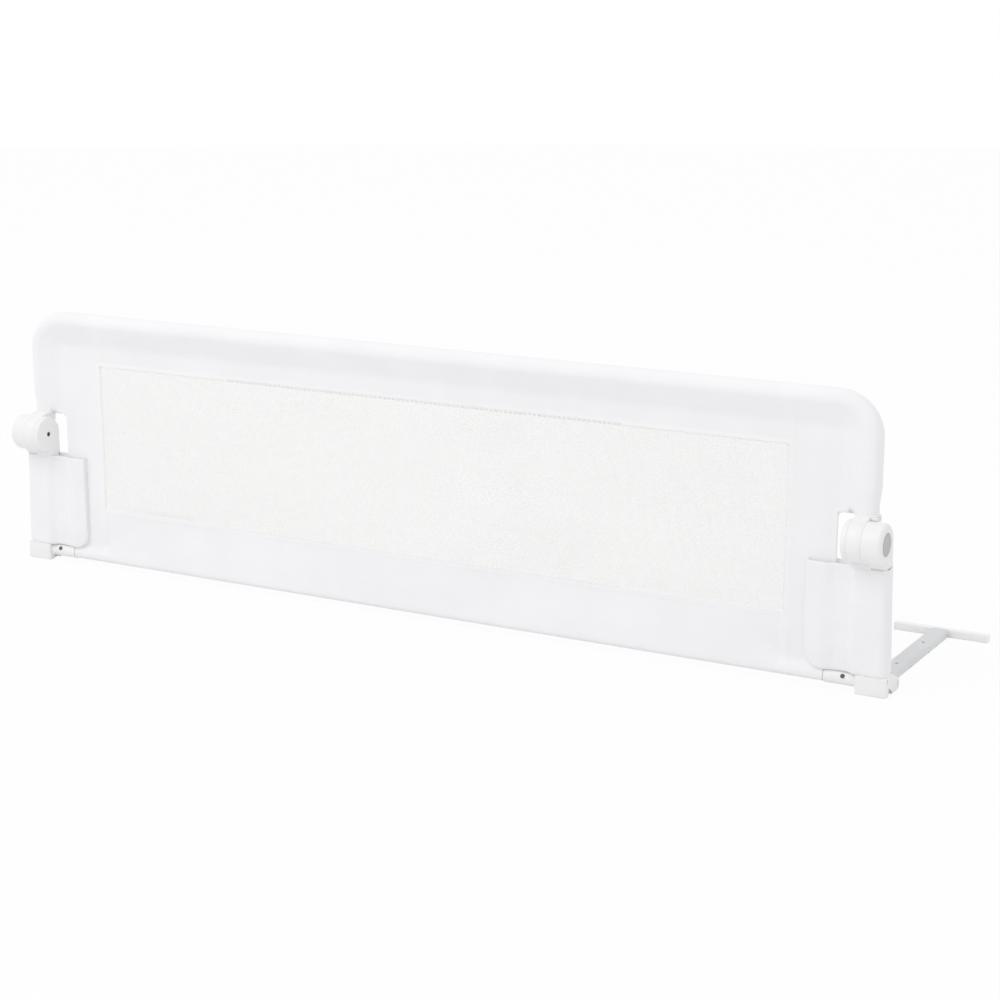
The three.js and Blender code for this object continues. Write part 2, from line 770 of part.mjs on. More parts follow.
// Release button: a cup in the drum's face, with legs through the web to the gear
function buttons() {
  const face = hingeOuterX + buttonProud;
  const inner = face - buttonFace;
  const skirt = webOuterX + buttonTravel + seat;
  const edge = arc(0, 0, buttonEdge, 0, Math.PI / 2, cornerSteps).map((point) => [
    face - buttonEdge + point.y,
    buttonRadius - buttonEdge + point.x,
  ]);
  const cup = turned([
    [inner, 0],
    [inner, buttonRadius - buttonWall],
    [skirt, buttonRadius - buttonWall],
    [skirt, buttonRadius],
    ...edge,
    [face, 0],
  ]);
  addPair("release_button", joined(cup, ...legBlocks(webInnerX, inner + buttonFace / 2)), greyPlastic);
}

// Lock gear, with a pocket for its spring and a bore for the bolt
function lockGears() {
  const gear = cut(
    prismX(splineOutline(0), gearLowX, gearHighX),
    onAxis(springPocketRadius, gearLowX - overrun, gearLowX + springPocketDepth),
    onAxis(boltHole, gearLowX, gearHighX + overrun, smallSides),
  );
  addPair("lock_gear", gear, gearPlastic);
}

// Return spring round the bolt, from the end of the socket into the gear's pocket
function lockSprings() {
  const low = socketEndX + seat + springWire / 2;
  const high = gearLowX + springPocketDepth - seat - springWire / 2;
  const stepsPerTurn = 8;
  const sides = 5;
  const count = springTurns * stepsPerTurn;
  const centres = Array.from({ length: count + 1 }, (_, i) => {
    const angle = (2 * Math.PI * i) / stepsPerTurn;
    const x = low + ((high - low) * i) / count;
    return new THREE.Vector3(x, springRadius * Math.cos(angle), springRadius * Math.sin(angle));
  });
  const rise = (high - low) / (2 * Math.PI * springTurns);
  const positions = [];
  centres.forEach((centre) => {
    const outward = new THREE.Vector3(0, centre.y, centre.z).normalize();
    const forward = new THREE.Vector3(rise, -centre.z, centre.y).normalize();
    const across = new THREE.Vector3().crossVectors(forward, outward);
    for (const point of circle(0, 0, springWire / 2, sides)) {
      const corner = centre.clone().addScaledVector(outward, point.x).addScaledVector(across, point.y);
      positions.push(corner.x, corner.y + axisY, corner.z + hingeHeight);
    }
  });
  const faces = [];
  for (let ring = 0; ring < count; ring += 1) {
    for (let side = 0; side < sides; side += 1) {
      const a = ring * sides + side;
      const b = ring * sides + ((side + 1) % sides);
      faces.push(a, b, b + sides, a, b + sides, a + sides);
    }
  }
  const last = count * sides;
  for (let side = 1; side < sides - 1; side += 1) {
    faces.push(0, side + 1, side);
    faces.push(last, last + side, last + side + 1);
  }
  const geometry = new THREE.BufferGeometry();
  geometry.setAttribute("position", new THREE.Float32BufferAttribute(positions, 3));
  geometry.setIndex(faces);
  addPair("lock_spring", geometry, zincSteel);

  const apart = centres.flatMap((centre, i) =>
    centres.slice(i + stepsPerTurn / 2).map((other) => centre.distanceTo(other)),
  );
  console.log(`least gap in the spring ${(Math.min(...apart) - springWire).toFixed(2)} mm`);
}

// Pivot bolt from the cheek to the web, and the nut under the button
function pivotBolts() {
  const headLow = hingeInnerX + boltHeadSink;
  const headHigh = headLow + boltHeadHeight - seat;
  const nutLow = webOuterX + seat;
  const nutHigh = nutLow + nutHeight - seat;
  const bolt = cut(
    joined(
      onAxis(boltHeadRadius, headLow, headHigh),
      onAxis(boltRadius, headLow + boltSocketDepth, nutHigh + boltEnd, smallSides),
    ),
    onAxis(boltSocketRadius, headLow - overrun, headLow + boltSocketDepth - seat, hexSides),
  );
  addPair("pivot_bolt", bolt, darkSteel);
  const nut = onAxis(nutRadius, nutLow, nutHigh, hexSides);
  const nutBore = onAxis(boltHole, nutLow - overrun, nutHigh + overrun, smallSides);
  addPair("pivot_nut", cut(nut, nutBore), zincSteel);
}

// Outline in y and z of fabric that wraps a tube along X and hangs or stands from it as a sheet
function wrapOutline(radius, centreZ, edgeZ) {
  const half = coverSheet / 2;
  const opening = Math.asin(half / radius);
  const way = edgeZ < centreZ ? -1 : 1;
  const start = (way * Math.PI) / 2;
  const wrap = arc(0, centreZ, radius, start + opening, start + 2 * Math.PI - opening, tubeSides);
  const first = way < 0 ? half : -half;
  return [...wrap, new THREE.Vector2(-first, edgeZ), new THREE.Vector2(first, edgeZ)];
}

// Top and bottom bands, each with a sleeve round its tube
function bands() {
  const end = seamX - seat / 2;
  const top = wrapOutline(sleeveRadius, topTubeZ, windowHigh + seat / 2);
  const topBore = circle(0, topTubeZ, tubeRadius + coverPlay, tubeSides);
  add("cover_top_band", prismX(top, -end, end, topBore), whiteFabric);
  const low = wrapOutline(hemRadius, bottomTubeHeight, windowLow - seat / 2);
  const lowBore = circle(0, bottomTubeHeight, bottomTubeRadius + hemPlay, tubeSides);
  add("cover_bottom_band", prismX(low, -end, end, lowBore), whiteFabric);
}

// Net window, in two halves that meet at the fold
function nets() {
  const end = seamX - seat / 2;
  const half = netSheet / 2;
  add("net_upper", block(-end, end, -half, half, upperFoldZ, windowHigh - seat / 2), whiteNet);
  add("net_lower", block(-end, end, -half, half, windowLow + seat / 2, lowerFoldZ), whiteNet);
}

// Upper side panel: a sheet inside the frame, with a sleeve round the tube's top, corner and side
function upperSidePanels() {
  const start = seamX + seat / 2;
  const outline = rounded([
    [start, upperFoldZ],
    [notchX, upperFoldZ],
    [notchX, notchTop, notchCorner],
    [sideTubeX, notchTop],
    [sideTubeX, topTubeZ, tubeBend],
    [start, topTubeZ],
  ]);
  const sheet = prismY(outline, -coverSheet / 2, coverSheet / 2);
  const sleeve = upperSweep(sleeveRadius, start, notchTop);
  const bore = upperSweep(tubeRadius + coverPlay, start - overrun, notchTop - overrun);
  addPair("cover_side_upper", cut(joined(sheet, sleeve), bore), whiteFabric);
}

// Lower side panel: a sheet up to the fold, cut out round the pocket, with the end of the hem
function lowerSidePanels() {
  const start = seamX + seat / 2;
  const outline = rounded([
    [start, bottomTubeHeight],
    [hemEndX, bottomTubeHeight],
    [hemEndX, pocketTop],
    [notchX, pocketTop],
    [notchX, lowerFoldZ],
    [start, lowerFoldZ],
  ]);
  const sheet = prismY(outline, -coverSheet / 2, coverSheet / 2);
  const hem = prismX(circle(0, bottomTubeHeight, hemRadius, tubeSides), start, hemEndX);
  const bore = prismX(
    circle(0, bottomTubeHeight, bottomTubeRadius + hemPlay, tubeSides),
    start - overrun,
    hemEndX + overrun,
  );
  const pocket = prismY(pocketOutline(seat), -coverSheet, coverSheet);
  addPair("cover_side_lower", cut(joined(sheet, hem), bore, pocket), whiteFabric);
}

// Pocket outline in x and z, grown by extra: its lower edge drops from the inner edge to the post
function pocketOutline(extra) {
  const edge = hingeOuterX - pocketInset - extra;
  return rounded(
    [
      [edge, pocketInnerBottom - extra, pocketCorner],
      [pocketPostX, pocketBottom - extra],
      [hingeOuterX + overrun, pocketBottom - extra],
      [hingeOuterX + overrun, pocketTop + extra],
      [edge, pocketTop + extra],
    ],
    bendSteps,
  );
}

// Pocket: a padded sleeve, with a ridge along its inner edge, a valley and the post's bore
function pockets() {
  const half = postDepth / 2 + postMargin;
  const edge = hingeOuterX - pocketInset;
  const front = [
    [edge, -half, ridgeRound],
    [edge + ridgeWidth, -half],
    [edge + ridgeWidth + 2 * valleyDepth, valleyDepth - half],
    [pocketPostX, valleyDepth - half],
    [pocketPostX + 2 * valleyDepth, -half],
    [hingeOuterX, -half, postCorner + postMargin],
  ];
  const back = front.map(([x, y, radius]) => [x, -y, radius]).reverse();
  const body = solid(prismZ(rounded([...front, ...back]), pocketBottom - overrun, pocketTop + overrun));
  const outline = solid(prismY(pocketOutline(0), -half - overrun, half + overrun));
  const inner = roundedBox(
    postX,
    0,
    postWidth + 2 * coverPlay,
    postDepth + 2 * coverPlay,
    postCorner + coverPlay,
  );
  const bore = prismZ(inner, pocketBottom - overrun, pocketTop + overrun);
  addPair("pocket", cut(body.intersect(outline), bore), whiteFabric);
}

upperFrame();
lowerPosts();
bottomTubes();
feet();
supportArms();
crossBars();
hingeHousings();
hingeArms();
buttons();
lockGears();
lockSprings();
pivotBolts();
bands();
nets();
upperSidePanels();
lowerSidePanels();
pockets();

const box = new THREE.Box3().setFromObject(rail);
const centre = box.getCenter(new THREE.Vector3());
rail.position.set(-centre.x, -centre.y, -box.min.z);

export default rail;
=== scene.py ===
"""A folding guard rail for the side of a bed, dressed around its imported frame.

Shapes are drawn in millimetres: x along the bed, y to the mattress from the middle of the
cover, z up from the floor. Pieces that come in pairs are drawn for the right end.
"""

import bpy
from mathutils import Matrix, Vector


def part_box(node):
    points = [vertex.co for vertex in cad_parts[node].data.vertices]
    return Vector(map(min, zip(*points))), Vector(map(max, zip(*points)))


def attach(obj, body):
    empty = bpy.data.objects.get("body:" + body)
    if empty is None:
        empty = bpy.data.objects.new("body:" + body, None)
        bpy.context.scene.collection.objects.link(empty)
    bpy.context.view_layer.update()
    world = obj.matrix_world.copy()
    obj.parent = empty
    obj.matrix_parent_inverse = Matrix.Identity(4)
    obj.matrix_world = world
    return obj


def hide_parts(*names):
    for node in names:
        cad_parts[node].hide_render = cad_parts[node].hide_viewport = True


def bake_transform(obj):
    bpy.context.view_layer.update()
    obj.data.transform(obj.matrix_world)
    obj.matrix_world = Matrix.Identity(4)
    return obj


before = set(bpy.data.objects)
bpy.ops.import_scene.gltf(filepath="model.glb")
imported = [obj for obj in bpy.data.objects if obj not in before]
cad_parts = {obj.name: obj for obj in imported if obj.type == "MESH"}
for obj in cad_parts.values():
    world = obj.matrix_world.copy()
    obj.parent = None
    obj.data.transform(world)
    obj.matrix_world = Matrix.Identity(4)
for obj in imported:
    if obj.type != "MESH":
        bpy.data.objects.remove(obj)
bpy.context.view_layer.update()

from math import (
    acos, asin, atan2, ceil, copysign, cos, dist, hypot, pi, radians, sin, sqrt
)

import bmesh
import bpy
import numpy as np
from bpy.props import FloatProperty, FloatVectorProperty, IntProperty, PointerProperty
from mathutils import Matrix, Vector, geometry, noise

bl_info = {
    "name": "Folding bed guard rail",
    "version": (1, 0, 0),
    "blender": (4, 5, 0),
    "location": "View3D > Sidebar > Guard rail",
    "description": "Dresses the guard rail's frame in cloth, moulded plastic and painted steel",
    "category": "Add Mesh",
}

MM = 0.001

# Where the drawing stands in the row frame
NET_LOW, NET_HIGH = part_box("net_upper")
ORIGIN = Vector((0, (NET_LOW.y + NET_HIGH.y) / 2, 0))


def drawn_box(node):
    """Lowest and highest corner of a frame node in the drawing."""
    low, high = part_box(node)
    return (low - ORIGIN) / MM, (high - ORIGIN) / MM


def in_frame(point):
    """A drawn point in the row frame."""
    return Vector(point) * MM + ORIGIN


# Cover
BAND_LOW, BAND_HIGH = drawn_box("cover_top_band")
SLEEVE = (BAND_HIGH.y - BAND_LOW.y) / 2
TOP = BAND_HIGH.z
TUBE_Z = TOP - SLEEVE
TUBE_X = drawn_box("cover_side_upper_right")[1].x - SLEEVE
BEND = 48
BEND_X = TUBE_X - BEND
BEND_Z = TUBE_Z - BEND
SEAM_X = round(BAND_HIGH.x)
WINDOW_HIGH = round(BAND_LOW.z)
WINDOW_LOW = round(drawn_box("cover_bottom_band")[1].z)
HEM_LOW = drawn_box("cover_bottom_band")[0].z
HEM_Z = 18
HEM = HEM_Z - HEM_LOW
HEM_END_X = drawn_box("cover_side_lower_right")[1].x - 12
NOTCH_X = drawn_box("cover_side_lower_right")[1].x
NOTCH_TOP = 250
NOTCH_CORNER = 8
NOTCH_IN = NOTCH_X + NOTCH_CORNER
NOTCH_UP = NOTCH_TOP - NOTCH_CORNER
CORNER_X = 640
CLOTH_STEP = 8.0
CLOTH_ROW = 7.6
GATHER_TOP = 290
LAYERS = 1.5
SLEEVE_SEAM = 38
HEM_SEAM = 14
HEM_SPREAD = 56
SQUARE = 2.8

# Pocket
POCKET_LOW, POCKET_HIGH = drawn_box("pocket_right")
TUCK = 18

# Net
NET_TUCK = 6
NET_HALF = 0.25

# Hinge
AXIS_Y = -21.5
AXIS_Z = 218
BARREL = 29
OUTER_X = 750
CHEEK_X = 693
SLOT_LOW_X = 701
SLOT_HIGH_X = 722.4
RECESS_X = OUTER_X - 21.5
BORE = 15.8
BUTTON = 15.4
BACK_Y = 10.8
WALL_TOP = 229
SHOULDER_Z = 240
BOLT_HOLE = 3.2
CHEEK_ROUND = 3.5
PLATE_ROUND = 1.4
DRUM_ROUND = 6
SLOT_GAP = 0.14
BUTTON_OUT = 0.5
BUTTON_DEPTH = 12
BUTTON_ROUND = 1.4
BUTTON_DISH = 0.75
BUTTON_RING = 12.6

# Foot, support arm and cross bar
FOOT_INNER, FOOT_OUTER = 709, 754.5
FOOT_FRONT, FOOT_BACK = -14, 41
FOOT_TALL, FOOT_SHORT = 28, 15
FOOT_ROUND = 2.0
SOCKET_LOWER = 1.1
SOCKET_RADIUS = 10.2
SOCKET_BORE = 8.2
ARM_X = 726.5
ARM_WIDE = 27
ARM_ROUND = 3.6
ARM_CLEARANCE = 0.3
ARM_HOLES_Y = (108, 221)
ARM_HOLE = 2.6
ARM_SLOTS_Y = (128, 204, 240)
ARM_SLOT = 7
BAR_Y = 305.5
BAR_SIDE = 12
BAR_ROUND = 2.4
CAP_THICK = 3.2
CAP_ROUND = 1.6

# Screws, bottom tube and lock spring
BOTTOM_TUBE = 8
BOTTOM_TUBE_BORE = 6.8
TUBE_SCREW_X = OUTER_X - 60
TUBE_SCREW_TILT = 27
TUBE_SCREW_OUT = 9.9
ARM_SCREW_PLACE = (ARM_X, 5, 8.8)
ARM_SCREW_SIZE = 1.25
SPRING_WIRE = 0.6
SPRING_TURNS = 6

# Stage, in metres and degrees, its sensor in millimetres
WHITE = (1, 1, 1, 1)
FLOOR = (0.86, 0.86, 0.86)
FLOOR_RADII = (9, 2)
FLOOR_GLOW = 0.93
KEY_PLACE = (-1.8, -3.6, 4.8)
KEY_AIM = (0, -0.13, 0.2)
KEY_SIZE = 3.4
CAMERA_PLACE = (1.690, -2.8715, 0.972)
CAMERA_DOWN = 13.74
CAMERA_TURN = 29.39
SENSOR = 36

# Heights of the stretch of cloth beside the hinges that bends on the real rail when the guard
# folds
FOLD_LOW = in_frame((0, 0, 186))
FOLD_HIGH = in_frame((0, 0, 250))


# Settings


def colour(name, description, default):
    return FloatVectorProperty(
        name=name, description=f"Base colour of {description}", subtype="COLOR", size=3, min=0,
        max=1, default=default,
    )


def length(name, description, default):
    return FloatProperty(name=name, description=description, unit="LENGTH", default=default)


class CoverSettings(bpy.types.PropertyGroup):
    """Sizes and colours of the cloth."""

    cloth_colour: colour("Cloth colour", "the cover and pockets", (0.925, 0.922, 0.942))
    net_colour: colour("Net colour", "the net", (0.985, 0.985, 0.98))
    thread_colour: colour("Thread colour", "the stitches", (0.94, 0.94, 0.945))
    thread_pitch: length("Weave pitch", "Distance between threads of the cloth", 0.0011)
    net_pitch: length("Net pitch", "Distance between the holes of the net", 0.0024)
    stitch_pitch: length("Stitch pitch", "Distance from one stitch to the next", 0.0042)
    stitch_length: length("Stitch length", "Length of thread that shows in a stitch", 0.0031)
    stitch_width: length("Stitch width", "Thickness of the sewing thread", 0.0006)
    slack: FloatProperty(
        name="Slack", description="How far the cloth waves out of its plane, in millimetres",
        default=1.5, min=0, max=4,
    )


class HardwareSettings(bpy.types.PropertyGroup):
    """Sizes and colours of the moulded and painted parts."""

    plastic_colour: colour("Plastic colour", "the hinges and feet", (0.885, 0.885, 0.89))
    button_colour: colour("Button colour", "the release buttons", (0.5, 0.5, 0.52))
    arm_colour: colour("Arm paint", "the support arms", (0.69, 0.71, 0.72))
    bar_colour: colour("Bar paint", "the cross bars and their caps", (0.96, 0.96, 0.965))
    frame_colour: colour("Frame paint", "the tubes and posts", (0.88, 0.88, 0.885))
    round_steps: IntProperty(
        name="Round steps", description="Flat sides on the hinge's round faces",
        default=96, min=24, max=192,
    )


class StageSettings(bpy.types.PropertyGroup):
    """Light and camera."""

    sky: FloatProperty(
        name="Sky", description="Strength of the even light", default=0.9, min=0, max=2
    )
    key: FloatProperty(
        name="Key light", description="Power of the large lamp above the front", unit="POWER",
        default=62,
    )
    lens: FloatProperty(
        name="Lens", description="Focal length on a 36 mm sensor, in millimetres", default=79.2
    )


# Node trees

MIX_SHARE, MIX_FIRST, MIX_SECOND, MIX_COLOUR = 0, 6, 7, 2


def put(tree, socket, value):
    """A number, a vector, a colour or another node's result into a socket."""
    if isinstance(value, Term):
        value = value.socket
    if isinstance(value, bpy.types.NodeSocket):
        tree.links.new(value, socket)
    elif value is not None:
        if socket.type == "RGBA" and len(value) == 3:
            value = (*value, 1)
        socket.default_value = value


def node(tree, kind, settings=None, sockets=None, output=0):
    """A node from its type, its settings and its sockets' values, as one output's term."""
    made = tree.nodes.new(kind)
    for name, value in (settings or {}).items():
        setattr(made, name, value)
    for name, value in (sockets or {}).items():
        put(tree, made.inputs[name], value)
    return Term(tree, made.outputs[output])


class Term:
    """A value in a node tree, with the sums that the finishes use."""

    def __init__(self, tree, socket):
        self.tree = tree
        self.socket = socket

    def maths(self, operation, *values):
        sockets = dict(enumerate(values))
        return node(self.tree, "ShaderNodeMath", {"operation": operation}, sockets)

    def __add__(self, other):
        return self.maths("ADD", self, other)

    def __sub__(self, other):
        return self.maths("SUBTRACT", self, other)

    def __rsub__(self, other):
        return self.maths("SUBTRACT", other, self)

    def __mul__(self, other):
        return self.maths("MULTIPLY", self, other)

    __radd__ = __add__
    __rmul__ = __mul__

    def sine(self):
        return self.maths("SINE", self)

    def within(self, low, high):
        """0 below low, 1 above high and smooth between."""
        return node(
            self.tree, "ShaderNodeMapRange", {"interpolation_type": "SMOOTHSTEP"},
            {"Value": self, "From Min": low, "From Max": high}, "Result",
        )


class Finish:
    """A material and the nodes behind its Principled shader."""

    def __init__(self, name, **constants):
        self.material = bpy.data.materials.new(name)
        self.material.use_nodes = True
        self.tree = self.material.node_tree
        self.shader = self.tree.nodes["Principled BSDF"]
        self.set(**constants)

    def set(self, **sockets):
        for name, value in sockets.items():
            put(self.tree, self.shader.inputs[name.replace("_", " ")], value)
        return self.material

    def node(self, kind, settings=None, sockets=None, output=0):
        return node(self.tree, kind, settings, sockets, output)

    def place(self):
        return self.node("ShaderNodeTexCoord", output="Object")

    def stored(self, name, output):
        return self.node("ShaderNodeAttribute", {"attribute_name": name}, output=output)

    def axis(self, vector, which):
        return self.node("ShaderNodeSeparateXYZ", sockets={"Vector": vector}, output=which)

    def grain(self, vector, scale, detail=2.0, roughness=0.5):
        sockets = {"Vector": vector, "Scale": scale, "Detail": detail, "Roughness": roughness}
        return self.node("ShaderNodeTexNoise", sockets=sockets, output="Fac")

    def stretched(self, vector, factors):
        sockets = {0: vector, 1: factors}
        return self.node("ShaderNodeVectorMath", {"operation": "MULTIPLY"}, sockets)

    def blend(self, share, first, second):
        """A mix of two colours."""
        sockets = {MIX_SHARE: share, MIX_FIRST: first, MIX_SECOND: second}
        return self.node("ShaderNodeMix", {"data_type": "RGBA"}, sockets, MIX_COLOUR)

    def clouded(self, cloud, colour, low, high):
        """A colour that drifts a little between two shades."""
        return self.blend(cloud.within(0.3, 0.7), shade(colour, low), shade(colour, high))

    def bump(self, height, distance, strength=1.0, below=None):
        sockets = {"Height": height, "Distance": distance, "Strength": strength, "Normal": below}
        return self.node("ShaderNodeBump", sockets=sockets, output="Normal")


# Finishes


def shade(colour, share):
    """A colour made darker or lighter."""
    return tuple(channel * share for channel in colour)


def cloth_finish(name, colour, pitch):
    """Plain weave of fine polyester thread, softly creased."""
    finish = Finish(name, Sheen_Weight=0.3, Sheen_Roughness=0.5, Specular_IOR_Level=0.25)
    place = finish.stored("cloth", "Vector")
    turns = pi / pitch
    drift = finish.grain(place, 160, 1.0) * 1.4
    warp = (finish.axis(place, "X") * turns + drift).sine()
    weft = (finish.axis(place, "Z") * turns + drift).sine()
    weave = warp * weft * 0.5 + 0.5
    slub = finish.grain(finish.stretched(place, (0.12, 1, 1)), 1500)
    cloud = finish.grain(place, 9, 3.0)
    crease = finish.grain(finish.stretched(place, (1, 1, 0.55)), 26, 3.0, 0.45)
    pale = finish.blend(cloud.within(0.35, 0.7), shade(colour, 0.985), shade(colour, 1.01))
    tape = finish.stored("tape", "Fac")
    edged = finish.blend(tape, pale, (0.99, 0.985, 0.965))
    woven = (weave * 0.7 + slub * 0.3).within(0.1, 0.8)
    thread = finish.blend((1 - woven) * 0.055, edged, (0.0, 0.0, 0.0))
    rough = 0.84 + weave * 0.06 + cloud * 0.06
    folds = finish.bump(crease, 0.0022, 0.55)
    threads = finish.bump(weave * 0.75 + slub * 0.25, 0.00012, 0.5, folds)
    return finish.set(Base_Color=thread, Roughness=rough, Normal=threads)


def net_finish(name, colour, pitch):
    """Knitted net with round holes in staggered rows, and painted shade round each hole's rim."""
    finish = Finish(name, Sheen_Weight=0.1, Specular_IOR_Level=0.2)
    place = finish.stored("cloth", "Vector")
    flat = finish.stretched(place, (1, 0, 1))
    turned = finish.node(
        "ShaderNodeMapping",
        {"vector_type": "POINT"},
        {"Vector": flat, "Rotation": (0, pi / 4, 0), "Scale": (1 / pitch,) * 3},
    )
    holes = finish.node(
        "ShaderNodeTexVoronoi",
        {"voronoi_dimensions": "3D", "feature": "F1"},
        {"Vector": turned, "Scale": 1.0, "Randomness": 0.0},
        "Distance",
    )
    cloud = finish.grain(finish.stretched(place, (1, 1, 2)), 4)
    # Towards the right end the net's colour darkens by up to 4% and its holes grow smaller.
    drift = (finish.axis(place, "X") * 0.9 + cloud).within(0.45, 1.0)
    rim = (holes + drift * 0.045).within(0.23, 0.31)
    tone = finish.blend(drift, colour, shade(colour, 0.96))
    # Round each hole the thread is painted a fixed 98.5% shade of the colour, a painted shade at
    # the hole rims; between the holes it takes the tone above.
    knit_with_rim_shade = finish.blend(holes.within(0.26, 0.45), shade(colour, 0.985), tone)
    threads = finish.bump(holes.within(0.28, 0.6), 0.0003, 0.6)
    return finish.set(Base_Color=knit_with_rim_shade, Roughness=0.85 + cloud * 0.1, Alpha=rim, Normal=threads)


def plastic_finish(name, colour, roughness=0.4):
    """Satin moulded plastic: a fine spark texture and faint flow in the colour."""
    finish = Finish(name, Specular_IOR_Level=0.45)
    place = finish.place()
    cloud = finish.grain(place, 24, 3.0)
    spark = finish.grain(place, 2600)
    handled = finish.grain(finish.stretched(place, (1, 1, 0.35)), 75, 3.0).within(0.45, 0.8)
    tone = finish.clouded(cloud, colour, 0.985, 1.008)
    rough = roughness + spark * 0.05 + handled * 0.09
    swell = finish.bump(cloud, 0.0004, 0.25)
    return finish.set(
        Base_Color=tone, Roughness=rough, Normal=finish.bump(spark, 0.00005, 0.5, swell)
    )


def paint_finish(name, colour, roughness=0.33):
    """Powder coat over steel, with its orange peel and a few rubbed streaks."""
    finish = Finish(name, Specular_IOR_Level=0.5, Coat_Roughness=0.25)
    place = finish.place()
    peel = finish.grain(place, 620)
    cloud = finish.grain(place, 14, 3.0)
    rub = finish.grain(finish.stretched(place, (6, 0.4, 6)), 60, 3.0).within(0.62, 0.78)
    tone = finish.clouded(cloud, colour, 0.975, 1.01)
    worn = finish.blend(rub * 0.3, tone, shade(colour, 0.9))
    rough = roughness + peel * 0.08 + rub * 0.16
    return finish.set(
        Base_Color=worn, Roughness=rough, Coat_Weight=0.1 + cloud * 0.1,
        Normal=finish.bump(peel, 0.00012, 0.5),
    )


def steel_finish(name, colour, roughness):
    """Plated steel with turned marks and small dull patches."""
    finish = Finish(name, Metallic=1.0)
    place = finish.place()
    brushed = finish.grain(finish.stretched(place, (1, 14, 14)), 240, 3.0)
    patch = finish.grain(place, 420, 3.0).within(0.5, 0.75)
    tone = finish.blend(patch * 0.5, colour, shade(colour, 0.72))
    rough = roughness + brushed * 0.14 + patch * 0.15
    return finish.set(
        Base_Color=tone, Roughness=rough, Normal=finish.bump(brushed, 0.00004, 0.5)
    )


def thread_finish(name, colour):
    """Twisted sewing thread."""
    finish = Finish(name, Sheen_Weight=0.2, Specular_IOR_Level=0.3)
    place = finish.place()
    slant = finish.axis(place, "X") + finish.axis(place, "Z")
    twist = (slant * (2 * pi / 0.0006)).sine() * 0.5 + 0.5
    fluff = finish.grain(place, 3000)
    tone = finish.blend(twist, shade(colour, 0.94), colour)
    return finish.set(
        Base_Color=tone, Roughness=0.7 + fluff * 0.15,
        Normal=finish.bump(twist * 0.8 + fluff * 0.2, 0.00006, 0.6),
    )


FINISHES = {}


def finishes():
    """The finishes by name, made once."""
    if not FINISHES:
        cover = bpy.context.scene.guard_rail_cover
        hardware = bpy.context.scene.guard_rail_hardware
        for name, make, *values in (
            ("white_fabric", cloth_finish, cover.cloth_colour[:], cover.thread_pitch),
            ("white_net", net_finish, cover.net_colour[:], cover.net_pitch),
            ("white_thread", thread_finish, cover.thread_colour[:]),
            ("white_plastic", plastic_finish, hardware.plastic_colour[:]),
            ("grey_plastic", plastic_finish, hardware.button_colour[:], 0.36),
            ("cap_plastic", plastic_finish, hardware.bar_colour[:], 0.45),
            ("bar_paint", paint_finish, hardware.bar_colour[:], 0.36),
            ("gear_plastic", plastic_finish, (0.7, 0.68, 0.62), 0.45),
            ("white_paint", paint_finish, hardware.frame_colour[:]),
            ("grey_paint", paint_finish, hardware.arm_colour[:], 0.36),
            ("dark_steel", steel_finish, (0.16, 0.16, 0.175), 0.34),
            ("zinc_steel", steel_finish, (0.55, 0.55, 0.57), 0.3),
        ):
            FINISHES[name] = make(name, *values)
    return FINISHES


# Forms

ENDS = (("right", 1), ("left", -1))


def linked(name, data):
    """An object in the scene."""
    obj = bpy.data.objects.new(name, data)
    bpy.context.scene.collection.objects.link(obj)
    return obj


def object_of(name, mesh, slot, sharp=35, material=None):
    """A finished mesh, in the row frame, as an object with its finish."""
    mesh.name = name
    obj = linked(name, mesh)
    mesh.materials.clear()
    mesh.materials.append(material or finishes()[slot])
    mesh.shade_smooth()
    mesh.set_sharp_from_angle(angle=radians(sharp))
    return obj


def turned_out(bm, name="drawn"):
    """A form's mesh, its faces turned outwards. The form is used up."""
    bmesh.ops.recalc_face_normals(bm, faces=bm.faces)
    mesh = bpy.data.meshes.new(name)
    bm.to_mesh(mesh)
    bm.free()
    return mesh


def mesh_of(bm, side):
    """A drawn form as a mesh in the row frame; side is -1 for the left end."""
    made = bm.copy()
    bmesh.ops.remove_doubles(made, verts=made.verts, dist=1e-4)
    for vert in made.verts:
        vert.co = in_frame((vert.co.x * side, vert.co.y, vert.co.z))
    return turned_out(made)


def pair(name, bm, slot, body, sharp=35, material=None):
    """The same form at both ends, on its body and for its frame node."""
    for end, side in ENDS:
        obj = object_of(f"{name}_{end}", mesh_of(bm, side), slot, sharp, material)
        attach(obj, body.format(end=end))
        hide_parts(f"{name}_{end}")
    bm.free()


def loft(bm, rings, closed=(True, True)):
    """Faces between rings of points; closed says which ends get a cap."""
    rows = [[bm.verts.new(point) for point in ring] for ring in rings]
    count = len(rows[0])
    for low, high in zip(rows, rows[1:]):
        for i in range(count):
            bm.faces.new((low[i], low[(i + 1) % count], high[(i + 1) % count], high[i]))
    for wanted, row in zip(closed, (rows[0], rows[-1])):
        if wanted:
            centre = bm.verts.new(sum((vert.co for vert in row), Vector()) / count)
            for i in range(count):
                bm.faces.new((row[i], row[(i + 1) % count], centre))


def turned(bm, profile, centre, steps, radius=None):
    """A turned form along X, from (x, radius) points round a centre in y and z.

    radius gives the outline's own distance from the centre at an angle, for a form that isn't
    round; a profile radius below zero is then measured in from that outline.
    """
    rings = []
    for x, size in profile:
        ring = []
        for i in range(steps):
            angle = 2 * pi * i / steps
            reach = radius(angle) + size if radius and size <= 0 else size
            y, z = centre[0] + reach * cos(angle), centre[1] + reach * sin(angle)
            ring.append((x, y, z))
        rings.append(ring)
    loft(bm, rings)


